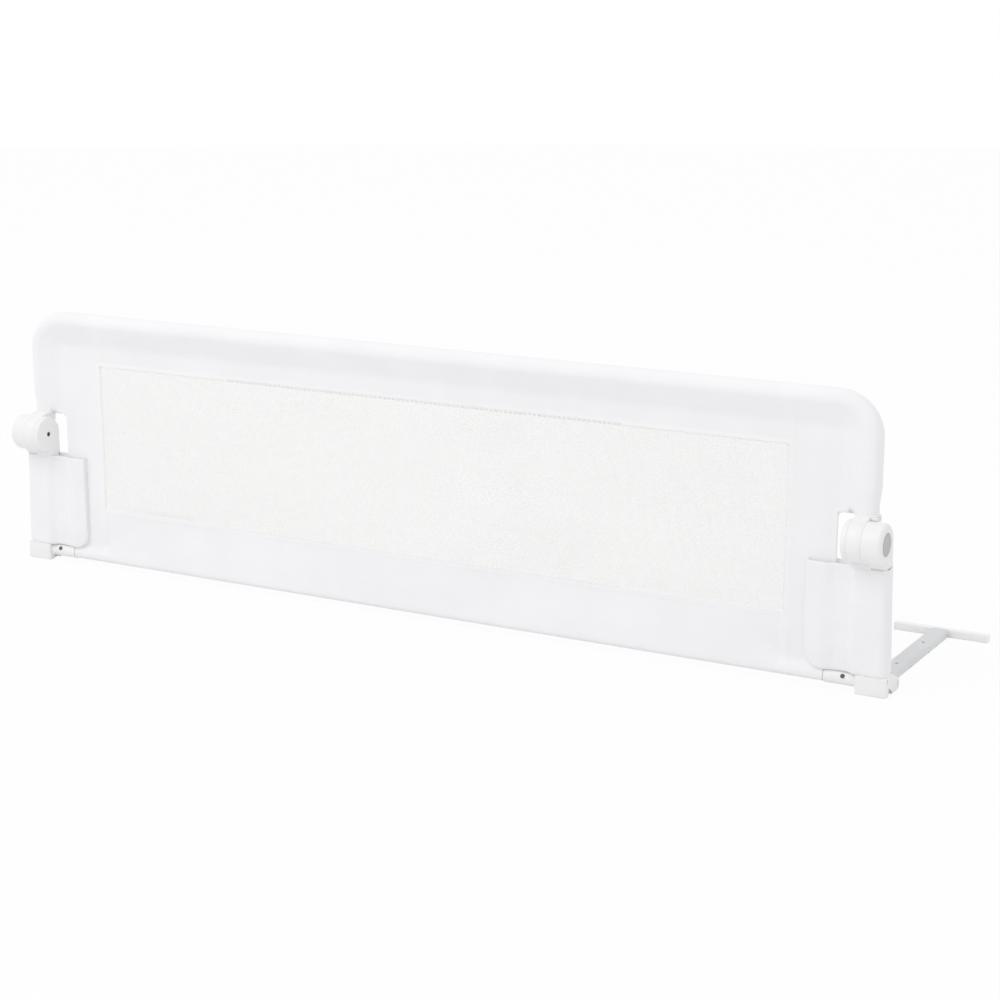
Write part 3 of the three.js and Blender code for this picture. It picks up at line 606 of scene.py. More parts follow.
def box(bm, low, high, round_edges=0.0, steps=3, turn=0):
    """A block with rounded edges, turned about Z by an angle."""
    made = bmesh.new()
    size = [b - a for a, b in zip(low, high)]
    middle = [(a + b) / 2 for a, b in zip(low, high)]
    place = Matrix.Rotation(turn, 4, "Z") @ Matrix.Translation(middle)
    bmesh.ops.create_cube(made, size=1, matrix=place @ Matrix.Diagonal((*size, 1)))
    if round_edges:
        bmesh.ops.bevel(
            made, geom=made.edges[:], offset=round_edges, segments=steps, profile=0.5,
            affect="EDGES",
        )
    mesh = bpy.data.meshes.new("part")
    made.to_mesh(mesh)
    made.free()
    bm.from_mesh(mesh)
    bpy.data.meshes.remove(mesh)


def cut(bm, tools):
    """Takes the tools out of a closed form."""
    body, tool = (linked("cut", turned_out(source)) for source in (bm, tools))
    modifier = body.modifiers.new("cut", "BOOLEAN")
    modifier.operation = "DIFFERENCE"
    modifier.solver = "EXACT"
    modifier.use_self = True
    modifier.object = tool
    mesh = evaluated(body)
    made = bmesh.new()
    made.from_mesh(mesh)
    for data in (mesh, body.data, tool.data):
        bpy.data.meshes.remove(data)
    return made


def evaluated(obj):
    """What an object's modifier makes of it, as a plain mesh."""
    depsgraph = bpy.context.evaluated_depsgraph_get()
    return bpy.data.meshes.new_from_object(obj.evaluated_get(depsgraph))


def rounded_section(width, height, corner, steps=6):
    """Points of a rounded rectangle about its middle."""
    points = []
    for i, (sx, sy) in enumerate(((1, 1), (-1, 1), (-1, -1), (1, -1))):
        for k in range(steps + 1):
            angle = pi / 2 * (i + k / steps)
            x = sx * (width / 2 - corner) + corner * cos(angle)
            points.append((x, sy * (height / 2 - corner) + corner * sin(angle)))
    return points


def hoop(x, y, z, radius, steps):
    """Points of a level circle."""
    angles = [2 * pi * k / steps for k in range(steps)]
    return [(x + radius * cos(a), y + radius * sin(a), z) for a in angles]


def rim(radius, steps=6):
    """Shares of a quarter round: how far along and how far in, from the side to the face."""
    angles = [pi / 2 * k / steps for k in range(steps + 1)]
    return [(radius * sin(a), radius * (1 - cos(a))) for a in angles]


# Cloth forms


def arc(cx, cz, radius, start, end, steps):
    angles = [radians(start + (end - start) * k / steps) for k in range(steps + 1)]
    return [(cx + radius * cos(a), cz + radius * sin(a)) for a in angles]


def stretch(first, last, step):
    """Evenly spaced points on a line, both ends included."""
    count = max(1, round(dist(first, last) / step))
    return [tuple(a + (b - a) * k / count for a, b in zip(first, last)) for k in range(count + 1)]


def level(first, last, z, step):
    return stretch((first, z), (last, z), step)


def upright(x, low, high, step):
    return stretch((x, low), (x, high), step)


def mirrored(row):
    return [(-x, z) for x, z in row]


class Field:
    """Points of a flat cut, none nearer to another than it may be."""

    CELL = 3.0

    def __init__(self):
        self.points = []
        self.cells = {}

    def add(self, point, apart):
        cell = tuple(int(value // self.CELL) for value in point)
        reach = ceil(apart / self.CELL)
        for i in range(-reach, reach + 1):
            for k in range(-reach, reach + 1):
                for other in self.cells.get((cell[0] + i, cell[1] + k), ()):
                    if dist(point, self.points[other]) < apart:
                        return
        self.cells.setdefault(cell, []).append(len(self.points))
        self.points.append(point)

    def row(self, points, apart=1.0):
        for point in points:
            self.add(point, apart)


def inside(points, loops):
    """Which points lie inside an odd number of loops."""
    points = np.array(points)
    found = np.zeros(len(points), bool)
    for loop in loops:
        corners = np.array(loop)
        for (x0, z0), (x1, z1) in zip(corners, np.roll(corners, -1, 0)):
            if z0 != z1:
                crossed = (points[:, 1] < z0) != (points[:, 1] < z1)
                at = x0 + (points[:, 1] - z0) * (x1 - x0) / (z1 - z0)
                found ^= crossed & (points[:, 0] < at)
    return found


def sheet_form(loops, field, half, middle, developed, taped=None):
    """A closed mesh of cloth from a flat cut in x and z.

    half and middle give half the thickness and the place of its middle at a point, developed
    where the point lies on the flat cloth, for the weave, and taped its share of a pale tape.
    """
    points = [point for loop in loops for point in loop]
    edges = []
    for loop in loops:
        first = len(edges)
        edges += [(first + i, first + (i + 1) % len(loop)) for i in range(len(loop))]
    free = np.array(field.points)
    points += [tuple(point) for point in free[inside(free, loops)]]
    flat, _, faces, *_ = geometry.delaunay_2d_cdt([Vector(p) for p in points], edges, [], 0, 1e-5)
    centres = [sum((flat[i] for i in face), Vector((0, 0))) / 3 for face in faces]
    faces = [face for face, kept in zip(faces, inside(centres, loops)) if kept]
    places, cloth, tapes, front, back = [], [], [], {}, {}
    for i in sorted({i for face in faces for i in face}):
        x, z = flat[i]
        depth, y = half(x, z), middle(x, z)
        front[i] = len(places)
        for way in (-1, 1) if depth > 0.02 else (-1,):
            back[i] = len(places)
            places.append((x, y + way * depth, z))
            cloth.append(developed(x, z))
            tapes.append(taped(x, z) if taped else 0.0)
    quads = [tuple(front[i] for i in face) for face in faces]
    quads += [tuple(back[i] for i in reversed(face)) for face in faces]
    sides = {}
    for face in faces:
        for a, b in zip(face, (*face[1:], face[0])):
            if sides.pop((b, a), None) is None:
                sides[(a, b)] = True
    for a, b in sides:
        corners = tuple(dict.fromkeys((front[b], front[a], back[a], back[b])))
        if len(corners) > 2:
            quads.append(corners)
    places = [gathered(*place) for place in places]
    return cloth_mesh(places, quads, cloth, tapes)


def cloth_mesh(places, faces, cloth, tapes):
    """A closed cloth form that stores where its points lie on the flat cloth, and its tapes."""
    mesh = bpy.data.meshes.new("cloth")
    mesh.from_pydata([in_frame(place) for place in places], [], faces)
    stored = mesh.attributes.new("cloth", "FLOAT_VECTOR", "POINT")
    stored.data.foreach_set("vector", np.array(cloth, np.float32).ravel() * MM)
    stored = mesh.attributes.new("tape", "FLOAT", "POINT")
    stored.data.foreach_set("value", np.array(tapes, np.float32))
    mesh.validate()
    bm = bmesh.new()
    bm.from_mesh(mesh)
    bpy.data.meshes.remove(mesh)
    return turned_out(bm)


def gathered(x, y, z):
    """A point of the cloth with the sleeve's low ends drawn in round the tube."""
    away = abs(x) - TUBE_X
    if z < NOTCH_TOP - 1 or z > GATHER_TOP or away < -26:
        return (x, y, z)
    pull = 0.17 * (1 - smooth(z, GATHER_TOP - 26, GATHER_TOP))
    y *= 1 - pull * smooth(away, -26, -9)
    return (x - copysign(pull * max(away, 0), x), y, z)


def smooth(value, low, high):
    """0 below low, 1 above high and smooth between."""
    share = min(max((value - low) / (high - low), 0), 1)
    return share * share * (3 - 2 * share)


def ripple(x, y, z):
    """Smooth unevenness, the same in every run."""
    return noise.noise(Vector((x, y, z)))


def teardrop(distance, radius, seam, square=2.0):
    """Half thickness of cloth that wraps a tube and runs softly into the flat beside it.

    square above 2 makes the side away from the flat squarer than round.
    """
    if distance >= radius:
        return 0.0
    if distance > 0:
        return radius * (1 - (distance / radius) ** square) ** (1 / square)
    far = hypot(seam, LAYERS)
    angle = atan2(LAYERS, seam) + acos(radius / far)
    touch = radius * cos(angle)
    if distance > -touch:
        return sqrt(radius**2 - distance**2)
    share = (-distance - touch) / (seam - touch)
    straight = radius * sin(angle) * (1 - share) + LAYERS * share
    above = straight - LAYERS
    return LAYERS + (above + sqrt(above * above + 3.2)) / 2 - 0.25


def outward(x, z):
    """Signed distance from the upper tube's centre line, and the way out from it."""
    x = abs(x)
    if x > BEND_X and z > BEND_Z:
        away = Vector((x - BEND_X, z - BEND_Z))
        return away.length - BEND, away.normalized()
    if z - TUBE_Z > x - TUBE_X:
        return z - TUBE_Z, Vector((0, 1))
    return x - TUBE_X, Vector((1, 0))


def window_distance(x, z):
    """Distance outside the net window's edge."""
    across = abs(x) - SEAM_X
    up = max(WINDOW_LOW - z, z - WINDOW_HIGH)
    if across > 0 and up > 0:
        return hypot(across, up)
    return max(across, up)


def notch_distance(x, z):
    """Distance inside the notch's edge beside the hinge."""
    across, up = NOTCH_X - abs(x), z - NOTCH_TOP
    if across < 0 and up < 0:
        return 0.0
    if abs(x) < NOTCH_IN and z > NOTCH_UP:
        return dist((abs(x), z), (NOTCH_IN, NOTCH_UP)) - NOTCH_CORNER
    return max(across, up)


def tape(distance, width, rise):
    """Height of a sewn tape at a distance from its near edge."""
    return rise * smooth(distance, -1.2, 0.4) * (1 - smooth(distance, width - 0.8, width + 1))


def swell(distance, radius):
    """Share of full thickness beside a rounded edge."""
    share = 1 - min(max(distance, 0) / radius, 1)
    return sqrt(max(1 - share * share, 0))


def rolled(distance, depth):
    """Half thickness beside a hemmed edge."""
    return max(depth * swell(distance, 1.8), 0.35)


def wave(x, z):
    """How far the cloth stands out of its plane."""
    away, _ = outward(x, z)
    hold = smooth(-away, 14, 70) * smooth(z - HEM_Z, 10, 55)
    slow = ripple(x / 210, 3.7, z / 120)
    quick = ripple(x / 74, 9.1, z / 60)
    slack = bpy.context.scene.guard_rail_cover.slack
    return slack * hold * (slow * 1.3 + quick * 0.45)


def hem_half(x, below):
    """Half the hem's thickness: full and flat in front of the tube, sewn lower at the pockets."""
    seam = HEM_SEAM + (HEM_SPREAD - HEM_SEAM) * (1 - smooth(abs(x), 530, 610))
    return teardrop(below, HEM, seam, SQUARE)


def cover_half(x, z):
    """Half the cover's thickness: sleeves, padding, tapes and hemmed edges."""
    away, way = outward(x, z)
    square = 2 + (SQUARE - 2) * way.x**2
    top = teardrop(away, SLEEVE, SLEEVE_SEAM, square) if z > NOTCH_TOP - 1 else LAYERS
    low = hem_half(x, HEM_Z - z)
    if min(top, low) == 0.0:
        return 0.0
    sewn = max(top, low)
    window, notch = window_distance(x, z), notch_distance(x, z)
    padding = smooth(-away, SLEEVE_SEAM, 60) * smooth(z, HEM_Z + HEM_SEAM, HEM_Z + HEM_SEAM + 14)
    padding *= smooth(window, 9, 24) * smooth(notch, 8, 18)
    sewn += 0.55 * padding
    flat = smooth(-away, 20, 32) * smooth(z, HEM_Z + 9, HEM_Z + HEM_SEAM)
    sewn -= 0.55 * (1 - smooth(window, 8, 16))
    sewn += tape(window, 9.5, 0.3) * flat
    sewn += tape(abs(x) - SEAM_X, 12, 0.4) * (0.25 + 0.75 * flat)
    if z > 176:
        sewn += tape(notch, 7, 0.35) * flat
    bulge = ripple(x / 38, 1.3, z / 38) * smooth(sewn, 3, 8)
    sewn += 0.45 * bulge * smooth(SLEEVE - abs(away), 0.5, 4)
    sewn = min(sewn, rolled(window, sewn), rolled(notch, sewn) if away < -SLEEVE - 4 else sewn)
    return sewn


def tape_share(x, z):
    """How much a point of the cover belongs to a pale tape or bound edge."""
    window, notch = window_distance(x, z), notch_distance(x, z)
    over = tape(z - WINDOW_HIGH, 8, 0.5) * smooth(SEAM_X + 10 - abs(x), 0, 3)
    beside = tape(abs(x) - SEAM_X, 11, 0.16)
    under = tape(WINDOW_LOW - z, 8, 0.12) * smooth(SEAM_X + 8 - abs(x), 0, 3)
    bound = tape(notch, 6, 0.4) if z > 176 and abs(x) > SEAM_X and notch > 0 else 0
    return max(over if window < 12 else 0, beside, under if window < 12 else 0, bound)


def cloth_place(x, z):
    """Where a point of the cover lies on the flat cloth."""
    away, way = outward(x, z)
    shift = Vector((0, 0))
    if z > NOTCH_TOP - 1 and away > -SLEEVE:
        shift = way * (SLEEVE * (pi / 2 - acos(min(max(away / SLEEVE, -1), 1))) - away)
    below = HEM_Z - z
    if below > -HEM:
        shift = Vector((0, -1)) * (HEM * asin(min(max(below / HEM, -1), 1)) - below)
    return (x + copysign(shift.x, x), 0, z + shift.y)


SLEEVE_ROWS = [SLEEVE * cos(pi / 2 * k / 10) for k in range(1, 11)]
SLEEVE_ROWS += [-3.5, -7, -10.6, -14, -17.5, -21, -25, -29, -33.5, -SLEEVE_SEAM, -43, -48]
HEM_ROWS = [HEM * cos(pi / 2 * k / 6) for k in range(1, 7)] + [-4, -7, -10, -14, -18]


def upper_path(away, low=NOTCH_TOP, step=CLOTH_STEP):
    """A line beside the upper tube, from the notch over the corner to the middle."""
    side = upright(TUBE_X + away, low, BEND_Z, step)
    corner = arc(BEND_X, BEND_Z, BEND + away, 0, 90, 14)
    return side[:-1] + corner + level(BEND_X, 0, TUBE_Z + away, step)[1:]


def cover_loops():
    """Outline of the cover and of its net window."""
    hidden = POCKET_HIGH.z - TUCK
    half = [
        *level(0, HEM_END_X, HEM_LOW, CLOTH_STEP),
        *((HEM_END_X, HEM_Z - away) for away in HEM_ROWS),
        *stretch((HEM_END_X, 46), (CORNER_X, 62), 5),
        *upright(CORNER_X, 70, 156, CLOTH_STEP),
        *level(CORNER_X, NOTCH_X - 1, hidden, 5),
        *upright(NOTCH_X, hidden, NOTCH_UP, 5),
        *arc(NOTCH_IN, NOTCH_UP, NOTCH_CORNER, 180, 90, 6)[1:],
        *((TUBE_X + away, NOTCH_TOP) for away in reversed(SLEEVE_ROWS)),
        *upper_path(SLEEVE),
    ]
    other = mirrored((x, z) for x, z in reversed(half) if x > 0)
    across = level(-SEAM_X, SEAM_X, WINDOW_LOW, CLOTH_STEP)[:-1]
    up = upright(SEAM_X, WINDOW_LOW, WINDOW_HIGH, CLOTH_STEP)
    window = across + up[:-1] + [(-x, WINDOW_HIGH) for x, _ in across]
    return [half + other, window + mirrored(reversed(up[1:]))]


def cover_points():
    """The points between the cover's edges."""
    field = Field()
    rows = [upper_path(away) for away in SLEEVE_ROWS]
    rows += [level(0, HEM_END_X, HEM_Z - away, CLOTH_STEP) for away in HEM_ROWS]
    for away in (0.5, 1.1, 1.8, 6, 8.6, 9.6, 10.8):
        low, high = WINDOW_LOW - away, WINDOW_HIGH + away
        rows += [
            level(0, SEAM_X, low, CLOTH_STEP),
            level(0, SEAM_X, high, CLOTH_STEP),
            upright(SEAM_X + away, low, high, CLOTH_STEP),
            arc(NOTCH_IN, NOTCH_UP, NOTCH_CORNER + away, 180, 90, 8),
            upright(NOTCH_X - away, 178, NOTCH_UP, 5),
            level(NOTCH_IN, TUBE_X - 28, NOTCH_TOP + away, 4),
        ]
    for along in (-1.2, -0.4, 0.4, 11, 12, 13):
        rows.append(upright(SEAM_X + along, HEM_Z + 12, TUBE_Z - 18, CLOTH_STEP))
    for row in rows:
        field.row(row, 0.55)
        field.row(mirrored(row), 0.55)
    for i in range(-90, 91):
        for k in range(52):
            x, z = (i + k % 2 / 2) * CLOTH_STEP, HEM_Z + 4 + k * CLOTH_ROW
            if min(abs(window_distance(x, z)) + 2, -outward(x, z)[0] - 24) > 3:
                field.add((x, z), 5.5)
    return field


def face_rows(paths, half, middle):
    """Lines on the front and on the back of a cloth form, from lines in x and z."""
    return [
        [(x, middle(x, z) + way * (half(x, z) + 0.05), z) for x, z in path]
        for path in paths for way in (-1, 1)
    ]


def stitched(name, rows):
    """Stitches along lines, made by Geometry Nodes and turned into a plain mesh."""
    settings = bpy.context.scene.guard_rail_cover
    places, edges = [], []
    for row in rows:
        first = len(places)
        places += row
        edges += [(first + i, first + i + 1) for i in range(len(row) - 1)]
    thread = finishes()["white_thread"]
    made = grown(
        places, edges, stitch_tree(), Pitch=settings.stitch_pitch, Length=settings.stitch_length,
        Width=settings.stitch_width, Thread=thread,
    )
    return object_of(name, made, "white_fabric", 80, thread)


def grown(places, edges, tree, aims=(), **values):
    """What a node tree makes of points and lines, as a plain mesh."""
    mesh = bpy.data.meshes.new("seeds")
    mesh.from_pydata([in_frame(place) for place in places], edges, [])
    if aims:
        aim = mesh.attributes.new("aim", "FLOAT_VECTOR", "POINT")
        aim.data.foreach_set("vector", np.array(aims, np.float32).ravel())
    source = linked("seeds", mesh)
    modifier = source.modifiers.new("grow", "NODES")
    modifier.node_group = tree
    for item in tree.interface.items_tree:
        if item.in_out == "INPUT" and item.name in values:
            modifier[item.identifier] = values[item.name]
    source.update_tag()
    bpy.context.view_layer.update()
    made = evaluated(source)
    source.modifiers.clear()
    bpy.data.meshes.remove(mesh)
    return made


def node_tree(name, **inputs):
    """A Geometry Nodes tree with a geometry input and output and named inputs of a kind."""
    tree = bpy.data.node_groups.new(name, "GeometryNodeTree")
    for label, kind in {"Geometry": "Geometry", **inputs}.items():
        tree.interface.new_socket(label, in_out="INPUT", socket_type=f"NodeSocket{kind}")
    tree.interface.new_socket("Geometry", in_out="OUTPUT", socket_type="NodeSocketGeometry")
    return tree, tree.nodes.new("NodeGroupInput").outputs


def strewn(tree, sockets, axis, way, material):
    """Ends a tree: an instance on each point, its axis turned to a way, in a material."""
    turn = node(tree, "FunctionNodeAlignRotationToVector", {"axis": axis}, {"Vector": way})
    placed = node(tree, "GeometryNodeInstanceOnPoints", None, {**sockets, "Rotation": turn})
    real = node(tree, "GeometryNodeRealizeInstances", None, {"Geometry": placed})
    dressed = node(tree, "GeometryNodeSetMaterial", None, {"Geometry": real, "Material": material})
    put(tree, tree.nodes.new("NodeGroupOutput").inputs[0], dressed)
    return tree


def stitch_tree():
    """Lines to rows of single stitches that lie along them."""
    found = bpy.data.node_groups.get("stitches")
    if found:
        return found
    tree, entry = node_tree(
        "stitches", Pitch="Float", Length="Float", Width="Float", Thread="Material"
    )
    lines = node(tree, "GeometryNodeMeshToCurve", None, {"Mesh": entry["Geometry"]})
    spaced = node(
        tree, "GeometryNodeResampleCurve", {"mode": "LENGTH"},
        {"Curve": lines, "Length": entry["Pitch"]},
    )
    bead = node(tree, "GeometryNodeMeshUVSphere", None, {"Segments": 6, "Rings": 4, "Radius": 0.5})
    soft = node(tree, "GeometryNodeSetShadeSmooth", None, {"Geometry": bead})
    sizes = {"X": entry["Length"], "Y": entry["Width"], "Z": entry["Width"]}
    size = node(tree, "ShaderNodeCombineXYZ", None, sizes)
    way = node(tree, "GeometryNodeInputTangent")
    sockets = {"Points": spaced, "Instance": soft, "Scale": size}
    return strewn(tree, sockets, "X", way, entry["Thread"])


def screw_tree():
    """Points with an aim to screws that point along it."""
    tree, entry = node_tree("screws", Screw="Object", Size="Float", Steel="Material")
    points = node(tree, "GeometryNodeMeshToPoints", None, {"Mesh": entry["Geometry"]})
    aim = node(
        tree, "GeometryNodeInputNamedAttribute", {"data_type": "FLOAT_VECTOR"}, {"Name": "aim"}
    )
    screw = node(tree, "GeometryNodeObjectInfo", None, {"Object": entry["Screw"]}, "Geometry")
    sockets = {"Points": points, "Instance": screw, "Scale": entry["Size"]}
    return strewn(tree, sockets, "Z", aim, entry["Steel"])


# Pocket forms

POCKET_TOP = POCKET_HIGH.z
POCKET_X = POCKET_LOW.x
POCKET_HALF = (POCKET_HIGH.y - POCKET_LOW.y) / 2
POCKET_BOTTOM = 27.6
POCKET_LEAN = 2.4
POCKET_FLARE = 3
POCKET_CORNER = 25
POCKET_INNER_BOTTOM = 27.2
POCKET_EDGE = 11
POCKET_SIDE = 5.2
POCKET_ROUND = 3.2
POCKET_BULGE = 10


def pocket_side(z):
    """Outer side of the pocket at a height: it flares towards the foot."""
    return OUTER_X + POCKET_FLARE * smooth(POCKET_TOP - z, 0, 150)


def pocket_low(x):
    """Lower edge of the pocket: a round corner, then a gentle fall to the foot."""
    across = x - POCKET_X
    if across < POCKET_CORNER:
        reach = POCKET_CORNER - across
        return POCKET_INNER_BOTTOM + POCKET_CORNER - sqrt(max(POCKET_CORNER**2 - reach**2, 0))
    fall = POCKET_INNER_BOTTOM - POCKET_BOTTOM
    return POCKET_INNER_BOTTOM - fall * smooth(across, POCKET_CORNER, 78)


def pocket_half(x, z):
    """Half the pocket's thickness: a ridge, a sunk stretch and the bulge round the post."""
    across = x - POCKET_X
    depth = POCKET_EDGE + 1.8 * smooth(across, 2, 22) - 3.4 * smooth(across, 26, 44)
    depth += (POCKET_HALF - POCKET_EDGE + 1.6) * smooth(across, 61, 76)
    depth -= 1.4 * smooth(60 - z, 0, 26) * smooth(705 - x, 0, 8)
    fold = ripple(x / 19, 5.1, z / 120) + 0.5 * ripple(x / 9, 2.2, z / 40)
    depth += 0.75 * fold * (1 - 0.7 * smooth(across, 66, 78)) * smooth(across, 2, 12)
    depth -= POCKET_ROUND * (1 - swell(across, POCKET_ROUND))
    depth = POCKET_SIDE + (depth - POCKET_SIDE) * swell(pocket_side(z) - x, POCKET_BULGE)
    depth -= 3.4 * (1 - swell(z - pocket_low(x), 4.5))
    return depth - 1.6 * (1 - swell(POCKET_TOP - z, 2.5))


def leaned(place):
    """A point of the pocket with its mouth lower in front than behind."""
    x, y, z = place
    return (x, y, z + POCKET_LEAN * y / POCKET_HALF * smooth(z, POCKET_TOP - 26, POCKET_TOP))


def pocket_form():
    """The pocket as rings round the post, from the lower edge up and in at the mouth."""
    width, inner, outer = OUTER_X - POCKET_X, POCKET_ROUND, POCKET_BULGE
    stations = [inner * (1 - cos(pi / 2 * k / 5)) for k in range(5)]
    stations += [inner + (width - inner - outer) * k / 42 for k in range(43)]
    stations += [width - outer * (1 - sin(pi / 2 * k / 8)) for k in range(1, 9)]
    levels = [away / 118 for away in (0, 0.15, 0.45, 0.9, 1.6, 2.6, 4.5)]
    levels += [0.06 + 0.91 * k / 36 for k in range(37)]
    levels += [1 - away / 118 for away in (2.5, 1.6, 0.9, 0.4, 0.12, 0)]
    places, cloth = [], []
    for level in levels:
        ring = []
        for share in (across / width for across in stations):
            low = pocket_low(POCKET_X + width * share)
            z = low + (POCKET_TOP - low) * level
            x = POCKET_X + (pocket_side(z) - POCKET_X) * share
            ring.append((x, -pocket_half(x, z), z))
        around = ring + [(x, y * k, z) for k in (0.33, -0.33) for x, y, z in ring[-1:]]
        around += [(x, -y, z) for x, y, z in reversed(ring)]
        around += [(x, -y * k, z) for k in (0.33, -0.33) for x, y, z in ring[:1]]
        turn = 0.0
        for last, place in zip(around[:1] + around, around):
            turn += dist(place[:2], last[:2])
            cloth.append((turn, 0, place[2]))
        places += around
    count, half = len(around), len(stations)
    for inset, z in ((1.6, POCKET_TOP), (2.2, POCKET_TOP - 1), (2.4, POCKET_TOP - 5)):
        for x, y, _ in around:
            x = min(max(x, POCKET_X + inset), OUTER_X - inset)
            places.append((x, copysign(max(abs(y) - inset, 0.3), y), z))
            cloth.append((x, 0, z))
    faces = []
    for low in range(0, len(places) - count, count):
        for i in range(count):
            k = (i + 1) % count
            faces.append((low + i, low + k, low + count + k, low + count + i))
    for base in (0, len(places) - count):
        last = base + count - 3
        faces += [(base + i, base + i + 1, last - i - 1, last - i) for i in range(half - 1)]
        faces.append(tuple(base + half - 1 + i for i in range(4)))
        faces.append((base, last, last + 1, last + 2))
    return cloth_mesh([leaned(place) for place in places], faces, cloth, [0.0] * len(places))


# Hinge forms


def bent(first, corner, last, steps=6):
    """Points of a soft corner between two points."""
    points = []
    for k in range(steps + 1):
        share = k / steps
        a = [p + (q - p) * share for p, q in zip(first, corner)]
        b = [p + (q - p) * share for p, q in zip(corner, last)]
        points.append(tuple(p + (q - p) * share for p, q in zip(a, b)))
    return points


def housing_outline(rear, joins):
    """The fixed hinge's outline in y and z: a round barrel with a flat back and a foot.

    joins is the angle where the round top gives way to the flat back.
    """
    points = arc(AXIS_Y, AXIS_Z, BARREL, joins, 270, 72)
    points += bent(points[-1], (-16, 189), (-14.4, POCKET_TOP + 0.1))
    points += level(-13, rear - 1, POCKET_TOP + 0.1, 4) + upright(rear, POCKET_TOP + 1, 214, 4)
    points += bent((rear, 218), (rear, 218 + 8 * (rear > 8)), points[0])
    return points


def reach_of(outline):
    """Distance from the fold axis to an outline, as a function of the angle."""
    centre = Vector((AXIS_Y, AXIS_Z))
    corners = [Vector(point) - centre for point in outline]

    def reach(angle):
        way = Vector((cos(angle), sin(angle)))
        found = 0.0
        for a, b in zip(corners, corners[1:] + corners[:1]):
            side = b - a
            cross = way.x * side.y - way.y * side.x
            if abs(cross) > 1e-9:
                along = (a.x * side.y - a.y * side.x) / cross
                share = (a.x * way.y - a.y * way.x) / cross
                if along > 0 and -1e-6 <= share <= 1 + 1e-6:
                    found = max(found, along)
        return found

    table = [reach(2 * pi * k / 720) for k in range(720)]
    return lambda angle: table[round(angle * 360 / pi) % 720]


# Operators


class Piece:
    """What every operator of this add-on shares."""

    bl_options = {"REGISTER", "UNDO"}

    @classmethod
    def poll(cls, context):
        return context.scene is not None


class GUARDRAIL_OT_stage(Piece, bpy.types.Operator):
    """Lay a pale floor, light it softly and set the camera"""

    bl_idname = "guard_rail.stage"
    bl_label = "Stage"

    def execute(self, context):
        settings = context.scene.guard_rail_stage
        context.scene.view_settings.view_transform = "Standard"
        self.floor()
        self.sky(context.scene, settings.sky)
        light = bpy.data.lights.new("key", "AREA")
        light.shape = "DISK"
        light.size = KEY_SIZE
        light.energy = settings.key
        key = linked("key", light)
        key.location = KEY_PLACE
        aim = Vector(KEY_AIM) - Vector(KEY_PLACE)
        key.rotation_euler = aim.to_track_quat("-Z", "Y").to_euler()
        camera = bpy.data.cameras.new("camera")
        camera.lens = settings.lens
        camera.sensor_width = SENSOR
        seen = linked("camera", camera)
        seen.location = CAMERA_PLACE
        seen.rotation_euler = (radians(90 - CAMERA_DOWN), 0, radians(CAMERA_TURN))
        context.scene.camera = seen
        return {"FINISHED"}

    @staticmethod
    def seen(tree):
        """1 for rays that come from the camera, a mirror or glass."""
        shown = node(tree, "ShaderNodeLightPath", output="Is Camera Ray")
        for name in ("Is Glossy Ray", "Is Transmission Ray"):
            ray = node(tree, "ShaderNodeLightPath", output=name)
            shown = shown.maths("MAXIMUM", shown, ray)
        return shown

    def sky(self, scene, strength):
        scene.world = bpy.data.worlds.new("studio")
        scene.world.use_nodes = True
        tree = scene.world.node_tree
        background = tree.nodes["Background"].inputs
        put(tree, background["Color"], WHITE)
        put(tree, background["Strength"], self.seen(tree) * (1 - strength) + strength)

    def floor(self):
        bm = bmesh.new()
        loft(bm, [hoop(0, 0, 0, radius, 24) for radius in FLOOR_RADII], (False, True))
        obj = linked("floor", turned_out(bm, "floor"))
        finish = Finish("floor", Roughness=0.9, Base_Color=FLOOR)
        tree = finish.tree
        glow = finish.node("ShaderNodeEmission", sockets={"Color": WHITE})
        shares = {0: self.seen(tree) * FLOOR_GLOW, 1: finish.shader.outputs[0], 2: glow}
        mixed = finish.node("ShaderNodeMixShader", sockets=shares)
        put(tree, tree.nodes["Material Output"].inputs["Surface"], mixed)
        obj.data.materials.append(finish.material)


class GUARDRAIL_OT_cover(Piece, bpy.types.Operator):
    """Make the cloth cover, in one cut from the tube's sleeve to the bottom hem"""

    bl_idname = "guard_rail.cover"
    bl_label = "Cover"

    def execute(self, context):
        mesh = sheet_form(cover_loops(), cover_points(), cover_half, wave, cloth_place, tape_share)
        obj = object_of("cover", mesh, "white_fabric", 70)
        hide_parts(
            "cover_top_band", "cover_bottom_band", "cover_side_upper_right",
            "cover_side_upper_left", "cover_side_lower_right", "cover_side_lower_left",
        )
        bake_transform(obj)
        return {"FINISHED"}


class GUARDRAIL_OT_net(Piece, bpy.types.Operator):
    """Make the net that fills the window, sewn in behind its hem"""

    bl_idname = "guard_rail.net"
    bl_label = "Net"

    def execute(self, context):
        slack = context.scene.guard_rail_cover.slack
        columns = level(-SEAM_X - NET_TUCK, SEAM_X + NET_TUCK, 0, 10)
        rows = upright(0, WINDOW_LOW - NET_TUCK, WINDOW_HIGH + NET_TUCK, 6)
        grid = [[(x, z) for x, _ in columns] for _, z in rows]
        loop = grid[0] + [row[-1] for row in grid[1:-1]]
        loop += grid[-1][::-1] + [row[0] for row in grid[-2:0:-1]]
        field = Field()
        for row in grid[1:-1]:
            field.row(row[1:-1], 1.0)

        def middle(x, z):
            hold = smooth(-window_distance(x, z), 0, 60)
            own = ripple(x / 95, 21.4, z / 240)
            return wave(x, z) + hold * own * 1.6 * slack

        mesh = sheet_form([loop], field, lambda x, z: NET_HALF, middle, lambda x, z: (x, 0, z))
        obj = object_of("net", mesh, "white_net", 70)
        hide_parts("net_upper", "net_lower")
        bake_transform(obj)
        return {"FINISHED"}


